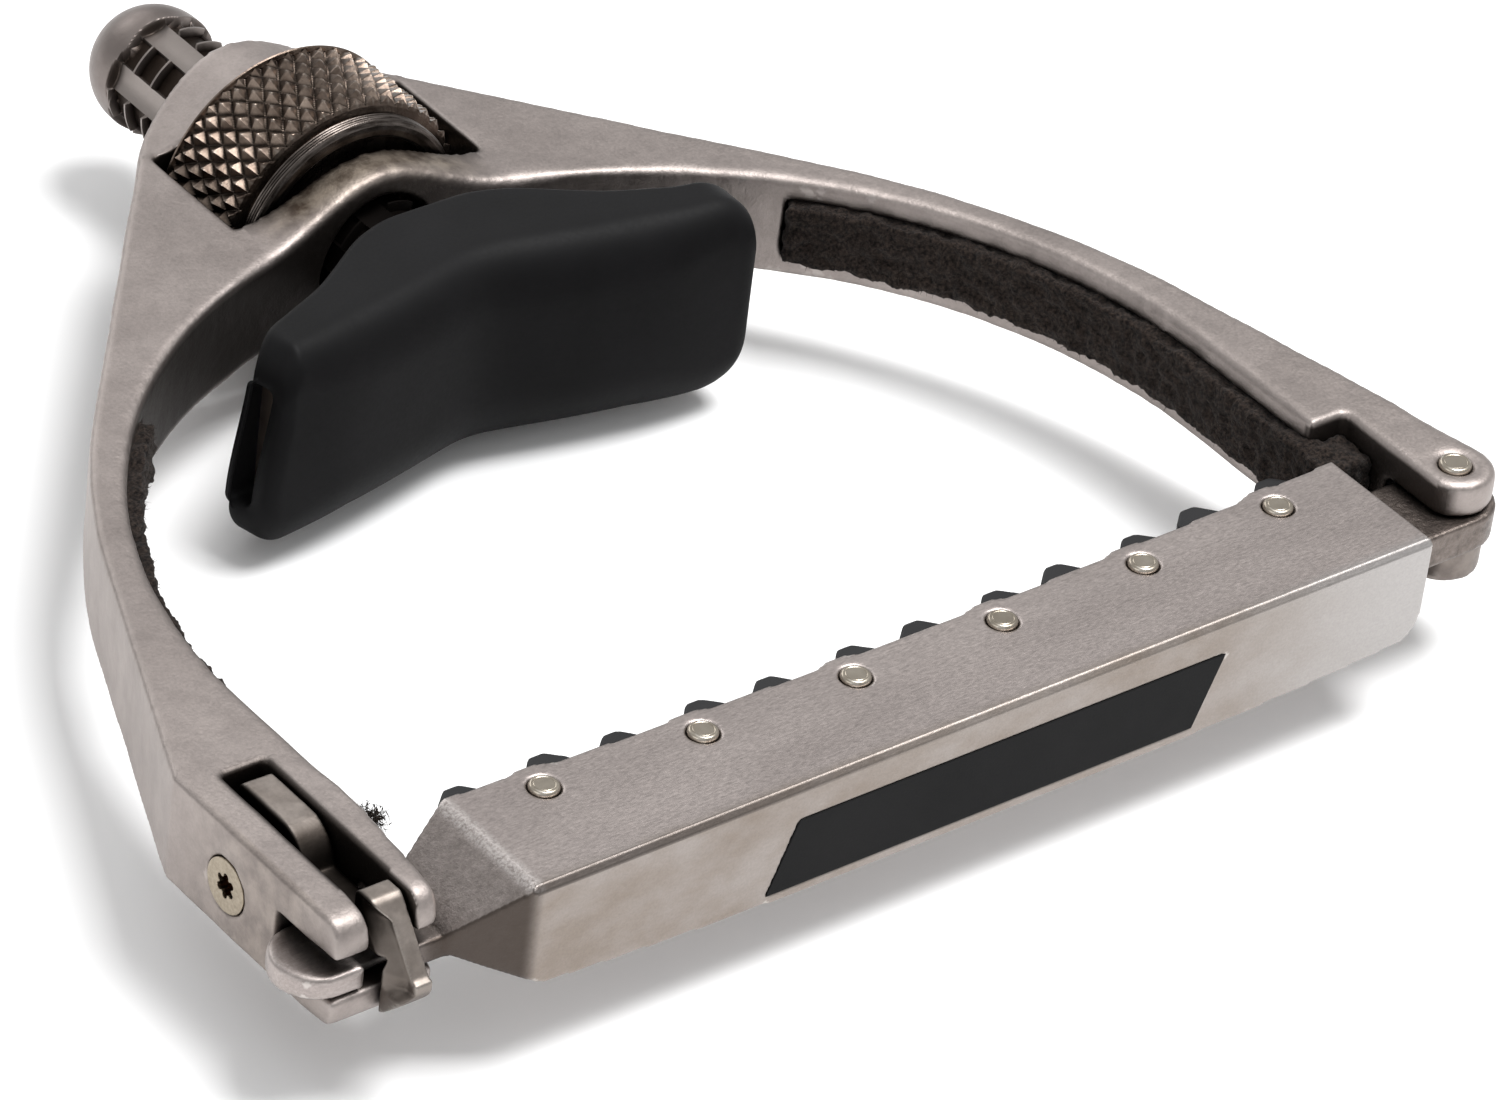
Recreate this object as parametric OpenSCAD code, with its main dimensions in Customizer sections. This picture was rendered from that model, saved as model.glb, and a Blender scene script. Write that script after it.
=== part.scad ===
// Guitar capo: a U-shaped yoke, a swing-out string bar held by a sprung latch, and a saddle pad
// that a knurled thumb nut draws up and down on a coarse screw. Sizes are in millimetres.
// The sub-parts are laid out with X along the bar, Y from the bar to the screw's domed end and
// Z up; X = 0 and Z = 0 is the screw's axis, and Y = 0 is the bar's front face.

/* [Yoke] */
// Thickness of the cast yoke
yoke_t = 5.4; // [5:0.1:6]
// Radius of the round inside of the yoke
inner_r = 27; // [26.5:0.1:27.5]
// Distance of the inside's centre from the bar's front face
inner_cy = 17.1; // [16:0.1:18]
// Radius of the bowed outside of each arm
bow_r = 40.4; // [40.2:0.1:41]
// Radius of the round boss over the screw, top and bottom
boss_h = 4.65; // [4.4:0.05:4.9]
// Depth of the pockets that hold the felt
pocket_d = 0.6; // [0.4:0.05:0.8]

/* [String bar] */
// Depth of the bar, front to back, at its middle
bar_d = 6.3; // [6:0.1:6.6]
// Height of the bar at its middle
bar_h = 5.95; // [5.5:0.05:6.2]
// Radius that the row of string pads follows
fret_r = 406; // [305:1:508]
// Spacing of the strings
string_pitch = 8.2; // [8:0.05:8.4]
// Radius of the pins that hold the string pads
pad_pin_r = 0.7; // [0.6:0.05:0.8]

/* [Screw and nut] */
// Radius of the clamp screw
screw_r = 3.15; // [3:0.05:3.2]
// Radius of the knurled thumb nut
nut_r = 6.8; // [6.6:0.05:6.85]
// Clearance of the screw in its bores
screw_gap = 0.07; // [0.05:0.01:0.1]

/* [Hinge and latch] */
// Radius of the hinge pin
hinge_pin_r = 0.75; // [0.6:0.05:0.8]
// Width of the slot that the latch lever turns in
slot_w = 2.3; // [2.2:0.05:2.4]
// Thickness of the latch lever
lever_t = 1.6; // [1.4:0.05:1.7]
// Radius of the latch's pivot screw
pivot_r = 0.8; // [0.7:0.05:0.85]

/* [Hidden] */
$fn = 96;
eps = 0.01;

// Colours
satin_steel = [0.66, 0.63, 0.61];
dark_steel = [0.30, 0.28, 0.27];
pale_nickel = [0.80, 0.76, 0.68];
black_rubber = [0.10, 0.10, 0.11];
dark_felt = [0.14, 0.11, 0.10];

// Outside of the yoke in plan: a round apex, straight flanks, a bow and a straight lower arm
flank_a = 39.8;
apex_cy = 47.5;
bow_cx = -10.3;
bow_cy = 11.4;
flank_n = [cos(flank_a), sin(flank_a)];
flank_dist = flank_n * [bow_cx, bow_cy] + bow_r;
apex_r = flank_dist - flank_n[1] * apex_cy;
right_lean_a = 12.4;
left_lean_a = 23.6;
left_wall_x = -32.8;
arm_front_y = 1.75;

// Screw window and boss
window_hw = 6.95;
window_y0 = 46.1;
window_y1 = 52.8;
boss_hw = 7;
boss_y0 = 43;
boss_y1 = 57.2;
bore_r = screw_r + screw_gap;

// Thumb nut: knurled from nut_y0 to nut_y1, with a smooth collar on the pad's side
nut_y0 = 47.15;
nut_y1 = 52.45;
nut_edge = 0.3;
collar_y0 = 46.4;
collar_r = 6;
recess_r = 5.1;
recess_d = 0.5;

// Hinge: an upper and a lower ear around the bar's lug
pin_x = 30.75;
pin_y = 3.9;
ear_r = 1.9;
lower_ear_r = 1.85;
ear_inner_x = 29;
ear_step_y = 9.5;
felt_right_y0 = 7.3;
felt_left_y0 = 10.7;
fork_y1 = 6.4;
lug_t = 1.75;
fork_t = 1.9;
lug_r = 2.15;

// Latch slot, notch and tongue
slot_x0 = -31;
slot_x1 = slot_x0 + slot_w;
slot_mid = (slot_x0 + slot_x1) / 2;
slot_y1 = 12.8;
lever_x = slot_mid + 0.2;
lobe_y0 = 7.2;
lobe_y1 = 12.25;
lobe_top = 2.55;
arm_y0 = 2.2;
arm_z0 = 0.25;
slot_step_y = 6.6;
notch_z0 = -1.15;
notch_z1 = 0.9;
notch_y1 = 5.95;
deep_z = -1.95;
pivot_y = 9.5;
pivot_z = -0.25;
head_r = 1.35;
head_rim = 0.17;
tongue_z0 = -1.05;
tongue_z1 = 0.1;
tongue_y0 = 1.8;
tongue_y1 = 5.8;
tongue_end_x = -34.3;
groove_z = -0.62;
groove_w = 2.5;
groove_y0 = 2.7;

// Felt strips in the pockets
felt_hh = 1.55;
felt_proud = 0.7;
felt_a1 = 47.5;
felt_gap = 0.02;

// String bar
bar_x0 = -23.7;
bar_x1 = 26.1;
bar_mid_x = 1.05;
bar_top = 2.5;
bar_belly_r = 248;
bar_belly_flat = 6;
bar_corner = 0.6;
taper_z0 = -2.5;
bar_corner_w = 1.25;
bar_corner_h = 2.1;
front_edge = 0.45;
pad_slot_hh = 1.12;
pad_slot_y0 = 2.9;
pad_slot_x0 = bar_x0 + 0.9;
pad_slot_x1 = bar_x1 - 1.1;
pin_row_y = 5.03;
pin_z0 = -2.4;
neck_x = -27.2;
pin_recess_w = 0.12;
pin_recess_d = 0.15;
horn_dx = 2.25;
horn_tip = 2.15;
pad_hw = 3.3;
pad_hh = 1.05;
inlay_t = 0.25;
inlay_gap = 0.03;

// Saddle pad
saddle_z = -0.52;
sleeve_hh = 5.3;
sleeve_tip = 14.1;
sleeve_wall = 0.85;
plate_tip = 13.3;
plate_hh = 4.3;
hub_y0 = 36.5;
hub_y1 = 39.9;
plate_t = 1.2;
hub_r = 4.1;
rivet_r = 0.8;
rivet_head_r = 1.45;
rivet_head_t = 0.4;
rivet_l = 4;
rivet_y0 = 36.9;
screw_y0 = 37.8;
dome_cy = 62.4;
flute_w = 1.25;
flute_d = 0.45;
flute_y0 = 40.3;
flute_y1 = 62;
flutes = 6;
key_flute = 4;
key_l = 1.6;
key_h = 0.6;
key_gap = 0.1;

// Row frame: the middle of the object's box in X and Y, and the nut's lowest line in Z
row_x = (tongue_end_x + pin_x + lug_r) / 2;
row_y = (dome_cy + screw_r) / 2;
row_z = -nut_r;

function arc_pts(c, r, a0, a1, n) = [for (i = [0 : n]) let (a = a0 + (a1 - a0) * i / n)
    c + r * [cos(a), sin(a)]];

// Distance of the bar's back edge from its front face
function back_y(x) = bar_d + pow(x - bar_mid_x, 2) / (2 * fret_r);

function pin_x_at(i) = bar_mid_x + (i - 3.5) * string_pitch;
function pin_y_at(i) = pin_row_y + pow((i - 3.5) * string_pitch, 2) / (2 * fret_r);

// Angle of a flute round the screw, from X towards Z
function flute_a(k) = 43.2 + 360 * k / flutes;

// Half the boss's height at a distance x from the screw's axis
function boss_z(x) = yoke_t / 2 + (boss_h - yoke_t / 2) * (1 + cos(180 * x / boss_hw)) / 2;

module in_row_frame() {
    translate([-row_x, -row_y, -row_z]) children();
}

// Extrudes a plan outline to both sides of the yoke's middle
module slab(h) {
    translate([0, 0, -h / 2]) linear_extrude(h) children();
}

// Extrudes an outline drawn in Y and Z along X, from x0 to x1
module along_x(x0, x1) {
    translate([x0, 0, 0]) rotate([90, 0, 90]) linear_extrude(x1 - x0) children();
}

// Extrudes an outline drawn in X and Z along Y, from y0 to y1
module along_y(y0, y1) {
    translate([0, y1, 0]) rotate([90, 0, 0]) linear_extrude(y1 - y0) children();
}

// Round rod or hole along Y
module rod_y(r, y0, y1) {
    translate([0, y0, 0]) rotate([-90, 0, 0]) cylinder(h = y1 - y0, r = r);
}

module rod_x(r, x0, x1, y, z) {
    translate([x0, y, z]) rotate([0, 90, 0]) cylinder(h = x1 - x0, r = r);
}

module yoke_outline() {
    right_low = [bow_cx, bow_cy] + bow_r * [cos(right_lean_a), sin(right_lean_a)];
    ear_side = [pin_x, pin_y] + ear_r * [cos(right_lean_a), sin(right_lean_a)];
    left_low = [-bow_cx - bow_r * cos(left_lean_a), bow_cy + bow_r * sin(left_lean_a)];
    bend_y = left_low[1] - (left_low[0] - left_wall_x) / tan(left_lean_a);
    polygon(concat(
        arc_pts([bow_cx, bow_cy], bow_r, right_lean_a, flank_a, 24),
        arc_pts([0, apex_cy], apex_r, flank_a, 180 - flank_a, 32),
        arc_pts([-bow_cx, bow_cy], bow_r, 180 - flank_a, 180 - left_lean_a, 14),
        [[left_wall_x, bend_y], [left_wall_x, arm_front_y], [-ear_inner_x + 0.9, arm_front_y],
            [0, arm_front_y], [ear_inner_x, pin_y], [pin_x, pin_y], ear_side]));
    translate([pin_x, pin_y]) circle(ear_r);
}

// Where each felt strip ends: by the lug on the hinge's side, short of the latch on the other
function felt_end(side) = side > 0 ? felt_right_y0 : felt_left_y0;

// Open inside of the yoke, with the step beside the hinge and the lead-in beside the latch
module yoke_inside() {
    translate([0, inner_cy]) circle(inner_r, $fn = 240);
    translate([-inner_r, -1]) square([2 * inner_r, inner_cy + 1]);
    translate([0, -1]) square([ear_inner_x, ear_step_y + 1]);
    polygon([[-inner_r, 8], [-inner_r, 0], [-inner_r - 0.55, 0], [-inner_r - 0.5, arm_front_y + 1.5]]);
}

module boss_profile() {
    top = [for (i = [-20 : 20]) let (x = boss_hw * i / 20) [x, boss_z(x)]];
    polygon(concat(top, [for (i = [20 : -1 : -20]) let (x = boss_hw * i / 20) [x, -boss_z(x)]]));
}

module felt_pocket(side) {
    end_y = felt_end(side);
    intersection() {
        mirror([side < 0 ? 1 : 0, 0]) union() {
            translate([0, inner_cy]) circle(inner_r + pocket_d, $fn = 240);
            translate([0, end_y]) square([inner_r + pocket_d, inner_cy - end_y]);
        }
        mirror([side < 0 ? 1 : 0, 0]) polygon([[0, inner_cy], [0, end_y], [40, end_y], [40, inner_cy],
            [0, inner_cy] + 40 * [cos(felt_a1), sin(felt_a1)]]);
    }
}

module yoke() {
    color(satin_steel) in_row_frame() difference() {
        union() {
            slab(yoke_t) difference() {
                yoke_outline();
                yoke_inside();
            }
            intersection() {
                along_y(boss_y0, boss_y1) boss_profile();
                slab(2 * boss_h) difference() {
                    yoke_outline();
                    yoke_inside();
                }
            }
        }
        translate([-window_hw, window_y0, -boss_h - 1])
            cube([2 * window_hw, window_y1 - window_y0, 2 * boss_h + 2]);
        rod_y(bore_r, boss_y0 - 1, boss_y1 + 1);
        slab(2 * felt_hh) felt_pocket(1);
        slab(2 * felt_hh) felt_pocket(-1);
        // Fork for the bar's lug, and the hinge pin's bore
        translate([ear_inner_x - 2.5, -1, -fork_t / 2]) cube([8.5, fork_y1 + 1, fork_t]);
        translate([pin_x, pin_y, -yoke_t]) cylinder(h = 2 * yoke_t, r = hinge_pin_r);
        for (s = [-1, 1]) translate([pin_x, pin_y, s * yoke_t / 2])
            cylinder(h = 2 * pin_recess_d, r = hinge_pin_r + pin_recess_w, center = true);
        // Latch slot, deeper behind the tongue, and the notch for the tongue
        along_x(slot_x0, slot_x1) polygon([[0, notch_z0], [slot_step_y, notch_z0],
            [slot_step_y, deep_z], [slot_y1, deep_z], [slot_y1, yoke_t], [0, yoke_t]]);
        along_x(left_wall_x - 1, -inner_r + 3) translate([0, notch_z0])
            square([notch_y1, notch_z1 - notch_z0]);
        // Pivot screw: clearance and countersink in the outer wall, tapped hole in the inner wall
        rod_x(pivot_r, left_wall_x - 1, slot_x1 + 1.2, pivot_y, pivot_z);
        translate([left_wall_x, pivot_y, pivot_z]) rotate([0, 90, 0]) {
            translate([0, 0, -1]) cylinder(h = 1 + head_rim, r = head_r);
            translate([0, 0, head_rim]) cylinder(h = 0.65, r1 = head_r, r2 = pivot_r);
        }
        // The lower ear is a little narrower than the upper one
        translate([0, 0, -yoke_t]) linear_extrude(yoke_t - fork_t / 2) difference() {
            translate([ear_inner_x - 1, -1]) square([5, pin_y + 1]);
            translate([pin_x, pin_y]) circle(lower_ear_r);
        }
        // Rounded front corners of the left arm
        arm_corner(1);
        arm_corner(-1);
    }
    // Key in the front web's bore that runs in one of the screw's flutes
    color(satin_steel) in_row_frame() rotate([0, -flute_a(key_flute), 0])
        translate([screw_r - flute_d + key_gap, window_y0 - key_l, -flute_w / 2 + key_gap])
            cube([key_h, key_l, flute_w - 2 * key_gap]);
}

// Space outside the rounded upper (side 1) or lower (side -1) front corner of the left arm
module arm_corner(side) {
    r = side > 0 ? 1.1 : 0.7;
    along_x(left_wall_x - 1, -20) scale([1, side]) difference() {
        translate([arm_front_y - 1, yoke_t / 2 - r]) square([r + 1, r + 1]);
        translate([arm_front_y + r, yoke_t / 2 - r]) circle(r);
    }
}

// Felt strip that follows the arm's inside; side is 1 for the hinge arm, -1 for the latch arm
module felt_strip(side) {
    end_y = felt_end(side) + felt_gap;
    mirror([side < 0 ? 1 : 0, 0, 0]) slab(2 * felt_hh - 2 * felt_gap) intersection() {
        difference() {
            union() {
                translate([0, inner_cy]) circle(inner_r + pocket_d - felt_gap, $fn = 240);
                translate([0, end_y]) square([inner_r + pocket_d - felt_gap, inner_cy - end_y]);
                // The strip's thick end fills the step beside the hinge
                if (side > 0) translate([0, end_y])
                    square([ear_inner_x - felt_gap, ear_step_y - felt_gap - end_y]);
            }
            translate([0, inner_cy]) circle(inner_r - felt_proud, $fn = 240);
            square([inner_r - felt_proud, inner_cy]);
        }
        polygon([[0, inner_cy], [0, end_y], [40, end_y], [40, inner_cy],
            [0, inner_cy] + 40 * [cos(felt_a1 - 0.3), sin(felt_a1 - 0.3)]]);
    }
}

module felt_left() {
    color(dark_felt) in_row_frame() felt_strip(-1);
}

module felt_right() {
    color(dark_felt) in_row_frame() felt_strip(1);
}

module hinge_pin() {
    color(pale_nickel) in_row_frame() translate([pin_x, pin_y, 0]) {
        cylinder(h = yoke_t - 0.2, r = hinge_pin_r, center = true);
        for (s = [-1, 1]) scale([1, 1, s]) translate([0, 0, yoke_t / 2 - 0.1])
            cylinder(h = 0.18, r1 = hinge_pin_r, r2 = hinge_pin_r - 0.25);
    }
}

// Countersunk screw with a star recess, flush with the outer wall
module latch_pivot_screw() {
    color(pale_nickel) in_row_frame() translate([left_wall_x, pivot_y, pivot_z]) rotate([0, 90, 0])
        difference() {
            union() {
                cylinder(h = head_rim - 0.02, r = head_r - 0.05);
                translate([0, 0, head_rim - 0.02])
                    cylinder(h = 0.6, r1 = head_r - 0.05, r2 = pivot_r - 0.05);
                cylinder(h = slot_x1 - left_wall_x + 1.1, r = pivot_r - 0.05);
            }
            translate([0, 0, -eps]) linear_extrude(0.6) {
                circle(0.42);
                for (a = [0 : 60 : 300]) rotate(a) translate([0.45, 0]) circle(0.17);
            }
        }
}

// Side view of the lever in Y and Z: thumb lobe at the back, pivot, arm and hook at the front
module lever_side() {
    hub = 1.2;
    front_r = 2;
    rear_r = 0.45;
    finger_z1 = 2.6;
    foot_z0 = -2.45;
    translate([pivot_y, pivot_z]) circle(hub);
    polygon(concat([[arm_y0, arm_z0], [lobe_y0 - 0.8, arm_z0], [pivot_y - hub, pivot_z],
        [lobe_y1, -0.3]],
        arc_pts([lobe_y1 - rear_r, lobe_top - rear_r], rear_r, 0, 90, 6),
        arc_pts([lobe_y0 + front_r, lobe_top - front_r], front_r, 90, 170, 14),
        [[lobe_y0 - 0.3, arm_z0 + 0.6], [arm_y0, arm_z0 + 0.6]]));
    // Finger with a slanted front, and the foot below it
    polygon([[1.65, arm_z0], [3.9, arm_z0], [3.9, finger_z1 - 0.25], [3.65, finger_z1],
        [2.85, finger_z1], [2.6, finger_z1 - 0.15], [0.42, -0.3], [0.1, -0.4], [0.1, -0.85],
        [0.3, -1.25], [0.83, -1.8], [1.35, foot_z0 + 0.15], [1.65, foot_z0]]);
}

module latch_lever() {
    color(satin_steel) in_row_frame() difference() {
        along_x(lever_x - lever_t / 2, lever_x + lever_t / 2) lever_side();
        rod_x(pivot_r, slot_x0, slot_x1, pivot_y, pivot_z);
    }
}

// Small compression spring under the lever's thumb lobe
module latch_spring() {
    wire_r = 0.11;
    coil_r = 0.55;
    turns = 5;
    rise = 1.28;
    per_turn = 12;
    sides = 6;
    steps = turns * per_turn;
    ring = function (i) let (a = 360 * i / per_turn, z = wire_r + rise * i / steps)
        [for (k = [0 : sides - 1]) let (b = 360 * k / sides)
            [(coil_r + wire_r * cos(b)) * cos(a), (coil_r + wire_r * cos(b)) * sin(a),
                z + wire_r * sin(b)]];
    pts = [for (i = [0 : steps]) each ring(i)];
    walls = [for (i = [0 : steps - 1], k = [0 : sides - 1]) let (n = (k + 1) % sides)
        [i * sides + k, i * sides + n, (i + 1) * sides + n, (i + 1) * sides + k]];
    ends = [[for (k = [sides - 1 : -1 : 0]) k], [for (k = [0 : sides - 1]) steps * sides + k]];
    color(pale_nickel) in_row_frame() translate([slot_mid, 11.4, deep_z + 0.02])
        polyhedron(points = pts, faces = concat(walls, ends), convexity = 8);
}

// Bar in front view, X and Z: flat top, belly that is flat in the middle and rises to the ends,
// rounded lower corners
module bar_front() {
    low = bar_top - bar_h;
    belly_y = function (x) low + pow(max(0, abs(x - bar_mid_x) - bar_belly_flat), 2) / (2 * bar_belly_r);
    c = bar_corner;
    w = bar_corner_w;
    h = bar_corner_h;
    polygon(concat([[bar_x1, bar_top], [bar_x0, bar_top]],
        arc_pts([bar_x0 + c, belly_y(bar_x0) + c], c, 180, 265, 6),
        [for (i = [1 : 23]) let (x = bar_x0 + c + (bar_x1 - bar_x0 - c - w) * i / 24)
            [x, belly_y(x)]],
        [for (a = [280 : 10 : 360]) [bar_x1 - w + w * cos(a), belly_y(bar_x1 - w) + h + h * sin(a)]]));
}

// Tapered left end of the bar, down to the neck
module bar_taper() {
    hull() {
        translate([bar_x0, 0, taper_z0]) cube([eps, back_y(bar_x0), bar_top - taper_z0]);
        translate([neck_x - eps, tongue_y0, tongue_z0 + 0.3])
            cube([eps, tongue_y1 - tongue_y0, tongue_z1 - tongue_z0 - 0.3]);
    }
}

// Flat tongue with a rounded end that reaches through the latch slot
module bar_tongue() {
    mid_y = (tongue_y0 + tongue_y1) / 2;
    r = (tongue_y1 - tongue_y0) / 2;
    difference() {
        translate([0, 0, tongue_z0]) linear_extrude(tongue_z1 - tongue_z0) {
            translate([tongue_end_x + r, mid_y]) circle(r);
            translate([tongue_end_x + r, tongue_y0])
                square([neck_x - tongue_end_x - r + 0.3, tongue_y1 - tongue_y0]);
        }
        translate([slot_mid - groove_w / 2, 0, groove_z]) cube([groove_w, 8, 3]);
        translate([slot_mid - groove_w / 2, 0, tongue_z0 - 1]) cube([groove_w, groove_y0, 4]);
    }
}

module bar_lug() {
    difference() {
        slab(lug_t) {
            translate([pin_x, pin_y]) circle(lug_r);
            translate([bar_x1 - 1, pin_y - lug_r]) square([pin_x - bar_x1 + 1, 2 * lug_r]);
        }
        translate([pin_x, pin_y, -lug_t]) cylinder(h = 2 * lug_t, r = hinge_pin_r + 0.05);
    }
}

// Parallelogram of the inlay in X and Z, grown by d on every side
module inlay_shape(d) {
    top = 0.62;
    low = -2.88;
    polygon([[-9.8 - d, top + d], [14 + 1.4 * d, top + d], [12.65 + d, low - d],
        [-11.15 - 1.4 * d, low - d]]);
}

module string_bar() {
    color(satin_steel) in_row_frame() difference() {
        union() {
            difference() {
                along_y(0, 8) bar_front();
                translate([bar_mid_x, bar_d + fret_r, -10]) cylinder(h = 20, r = fret_r, $fn = 1440);
                translate([pad_slot_x0, pad_slot_y0, -pad_slot_hh])
                    cube([pad_slot_x1 - pad_slot_x0, 8, 2 * pad_slot_hh]);
                // Narrow chamfer along the front upper edge
                translate([0, 0, bar_top]) rotate([45, 0, 0])
                    cube([3 * bar_x1, sqrt(2) * front_edge, sqrt(2) * front_edge], center = true);
            }
            // Small lobes of the back edge at the pins
            for (i = [1 : 6]) difference() {
                translate([pin_x_at(i), back_y(pin_x_at(i)) - 2.7, bar_top - 5])
                    cylinder(h = 5, r = 2.95);
                translate([pin_x_at(i) - 4, pad_slot_y0 - 1, -pad_slot_hh])
                    cube([8, 9, 2 * pad_slot_hh]);
            }
            bar_taper();
            bar_tongue();
            bar_lug();
        }
        for (i = [1 : 6]) translate([pin_x_at(i), pin_y_at(i), pin_z0]) {
            cylinder(h = 8, r = pad_pin_r);
            translate([0, 0, bar_top - pin_z0 - pin_recess_d])
                cylinder(h = 1, r = pad_pin_r + pin_recess_w);
        }
        along_y(-1, inlay_t) inlay_shape(inlay_gap);
    }
}

module bar_inlay() {
    color(black_rubber) in_row_frame() along_y(0.02, inlay_t - inlay_gap) inlay_shape(0);
}

// Rubber string pad: a body round its pin and two horns with a valley for the string
module string_pad(i) {
    x = pin_x_at(i);
    edge = back_y(x);
    half = [[0, 0.85], [0.75, 1], [1.15, 1.4], [horn_dx - 0.55, horn_tip - 0.15],
        [horn_dx - 0.35, horn_tip], [horn_dx + 0.35, horn_tip], [horn_dx + 0.55, horn_tip - 0.15],
        [pad_hw + 0.1, 1.45], [pad_hw + 0.25, 1.1], [pad_hw, 0.45],
        [pad_hw, pad_slot_y0 + 0.1 - edge]];
    color(black_rubber) in_row_frame() translate([x, 0, 0]) difference() {
        translate([0, edge, 0]) slab(2 * pad_hh) polygon(concat(half,
            [for (i = [10 : -1 : 1]) [-half[i][0], half[i][1]]]));
        translate([0, pin_y_at(i), -5]) cylinder(h = 10, r = pad_pin_r + 0.02);
    }
}

// Headed pin that holds one string pad; its domed head shows on the bar's top
module pad_pin(i) {
    color(pale_nickel) in_row_frame() translate([pin_x_at(i), pin_y_at(i), pin_z0 + 0.02]) {
        cylinder(h = bar_top - pin_z0 - 0.02, r = pad_pin_r - 0.01);
        translate([0, 0, bar_top - pin_z0 - 0.02])
            cylinder(h = 0.15, r1 = pad_pin_r - 0.01, r2 = pad_pin_r - 0.25);
    }
}

module string_pad_1() { string_pad(1); }
module string_pad_2() { string_pad(2); }
module string_pad_3() { string_pad(3); }
module string_pad_4() { string_pad(4); }
module string_pad_5() { string_pad(5); }
module string_pad_6() { string_pad(6); }
module pad_pin_1() { pad_pin(1); }
module pad_pin_2() { pad_pin(2); }
module pad_pin_3() { pad_pin(3); }
module pad_pin_4() { pad_pin(4); }
module pad_pin_5() { pad_pin(5); }
module pad_pin_6() { pad_pin(6); }

// Knurled thumb nut with a smooth collar on the pad's side
module thumb_nut() {
    color(dark_steel) in_row_frame() difference() {
        union() {
            rod_y(nut_r - nut_edge, nut_y0, nut_y1);
            rod_y(nut_r, nut_y0 + nut_edge, nut_y1 - nut_edge);
            rod_y(collar_r, collar_y0, nut_y0 + 0.05);
        }
        rod_y(bore_r, window_y0, window_y1);
        rod_y(recess_r, window_y0, collar_y0 + recess_d);
    }
}

// Clamp screw: a fluted rod with a domed end; it slides and never turns
module clamp_screw() {
    color(dark_steel) in_row_frame() difference() {
        union() {
            rod_y(screw_r, screw_y0, dome_cy);
            translate([0, dome_cy, 0]) rotate([-90, 0, 0]) rotate_extrude() intersection() {
                circle(screw_r);
                square(screw_r + 1);
            }
        }
        for (k = [0 : flutes - 1]) rotate([0, -flute_a(k), 0])
            translate([screw_r - flute_d, flute_y0, -flute_w / 2])
                cube([2, flute_y1 - flute_y0, flute_w]);
        rod_y(rivet_r, screw_y0 - 1, screw_y0 + rivet_l);
    }
}

// Half of the saddle's front line, from its middle to one end
function saddle_front(x) = 33.9 + 2 * pow(max(0, 1 - abs(x) / 9.5), 1.25);

// The front line from one tip to the other, dy further back
function saddle_line(tip, dy) = [for (x = concat([-tip], [for (i = [-20 : 20]) i / 2], [tip]))
    [x, saddle_front(x) + dy]];

function flip(list) = [for (i = [len(list) - 1 : -1 : 0]) list[i]];

// Outline of the rubber sleeve in plan
module saddle_outline() {
    front = saddle_line(sleeve_tip, 0);
    side = [[sleeve_tip, 35.7], [10.6, 36.9], [8, 38.1], [6.2, 39.4], [4.4, 40.6], [2.4, 41.3]];
    polygon(concat(front, side, [for (i = [5 : -1 : 0]) [-side[i][0], side[i][1]]]));
}

// Bent strip of the saddle plate in plan, tip long each way
module plate_outline(tip) {
    polygon(concat(saddle_line(tip, sleeve_wall), flip(saddle_line(tip, sleeve_wall + plate_t))));
}

// Bent steel saddle plate with a round hub that the screw is riveted to
module pad_plate() {
    color(satin_steel) in_row_frame() difference() {
        union() {
            translate([0, 0, saddle_z]) slab(2 * plate_hh) plate_outline(plate_tip);
            intersection() {
                rod_y(hub_r, hub_y0, hub_y1);
                translate([0, 0, saddle_z]) slab(2 * plate_hh)
                    polygon([[-8, 42], [-8, 36.4], [0, 37.2], [8, 36.4], [8, 42]]);
            }
        }
        rod_y(screw_r, screw_y0, hub_y1 + 1);
        rod_y(rivet_r + 0.02, rivet_y0 - 1, hub_y1 + 1);
        rod_y(rivet_head_r, rivet_y0 - 2, rivet_y0 + rivet_head_t + 0.05);
    }
}

// Rivet through the saddle plate into the screw's end
module pad_rivet() {
    color(pale_nickel) in_row_frame() {
        rod_y(rivet_r - 0.02, rivet_y0, screw_y0 + rivet_l - 0.1);
        rod_y(rivet_head_r - 0.05, rivet_y0, rivet_y0 + rivet_head_t);
    }
}

// Rubber sleeve over the saddle plate, open at both ends
module pad_sleeve() {
    color(black_rubber) in_row_frame() difference() {
        translate([0, 0, saddle_z]) slab(2 * sleeve_hh) saddle_outline();
        translate([0, 0, saddle_z]) slab(2 * plate_hh + 0.04) plate_outline(sleeve_tip + 0.3);
        rod_y(hub_r + 0.02, hub_y0 - 0.5, hub_y1 + 0.05);
        rod_y(bore_r, hub_y1 - 1, hub_y1 + 3);
    }
}

yoke();
felt_left();
felt_right();
hinge_pin();
latch_pivot_screw();
latch_lever();
latch_spring();
string_bar();
bar_inlay();
string_pad_1();
string_pad_2();
string_pad_3();
string_pad_4();
string_pad_5();
string_pad_6();
pad_pin_1();
pad_pin_2();
pad_pin_3();
pad_pin_4();
pad_pin_5();
pad_pin_6();
thumb_nut();
clamp_screw();
pad_plate();
pad_rivet();
pad_sleeve();
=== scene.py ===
"""A guitar capo: cast yoke, hinged string bar with rubber string pads, latch, knurled nut, coarse
screw and rubber saddle. Shapes are laid out in millimetres from the screw's axis and the bar's
front face, and put into the frame in metres."""

import math
import random

import bmesh
import bpy
import numpy as np
from mathutils import Matrix, Vector, noise


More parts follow.
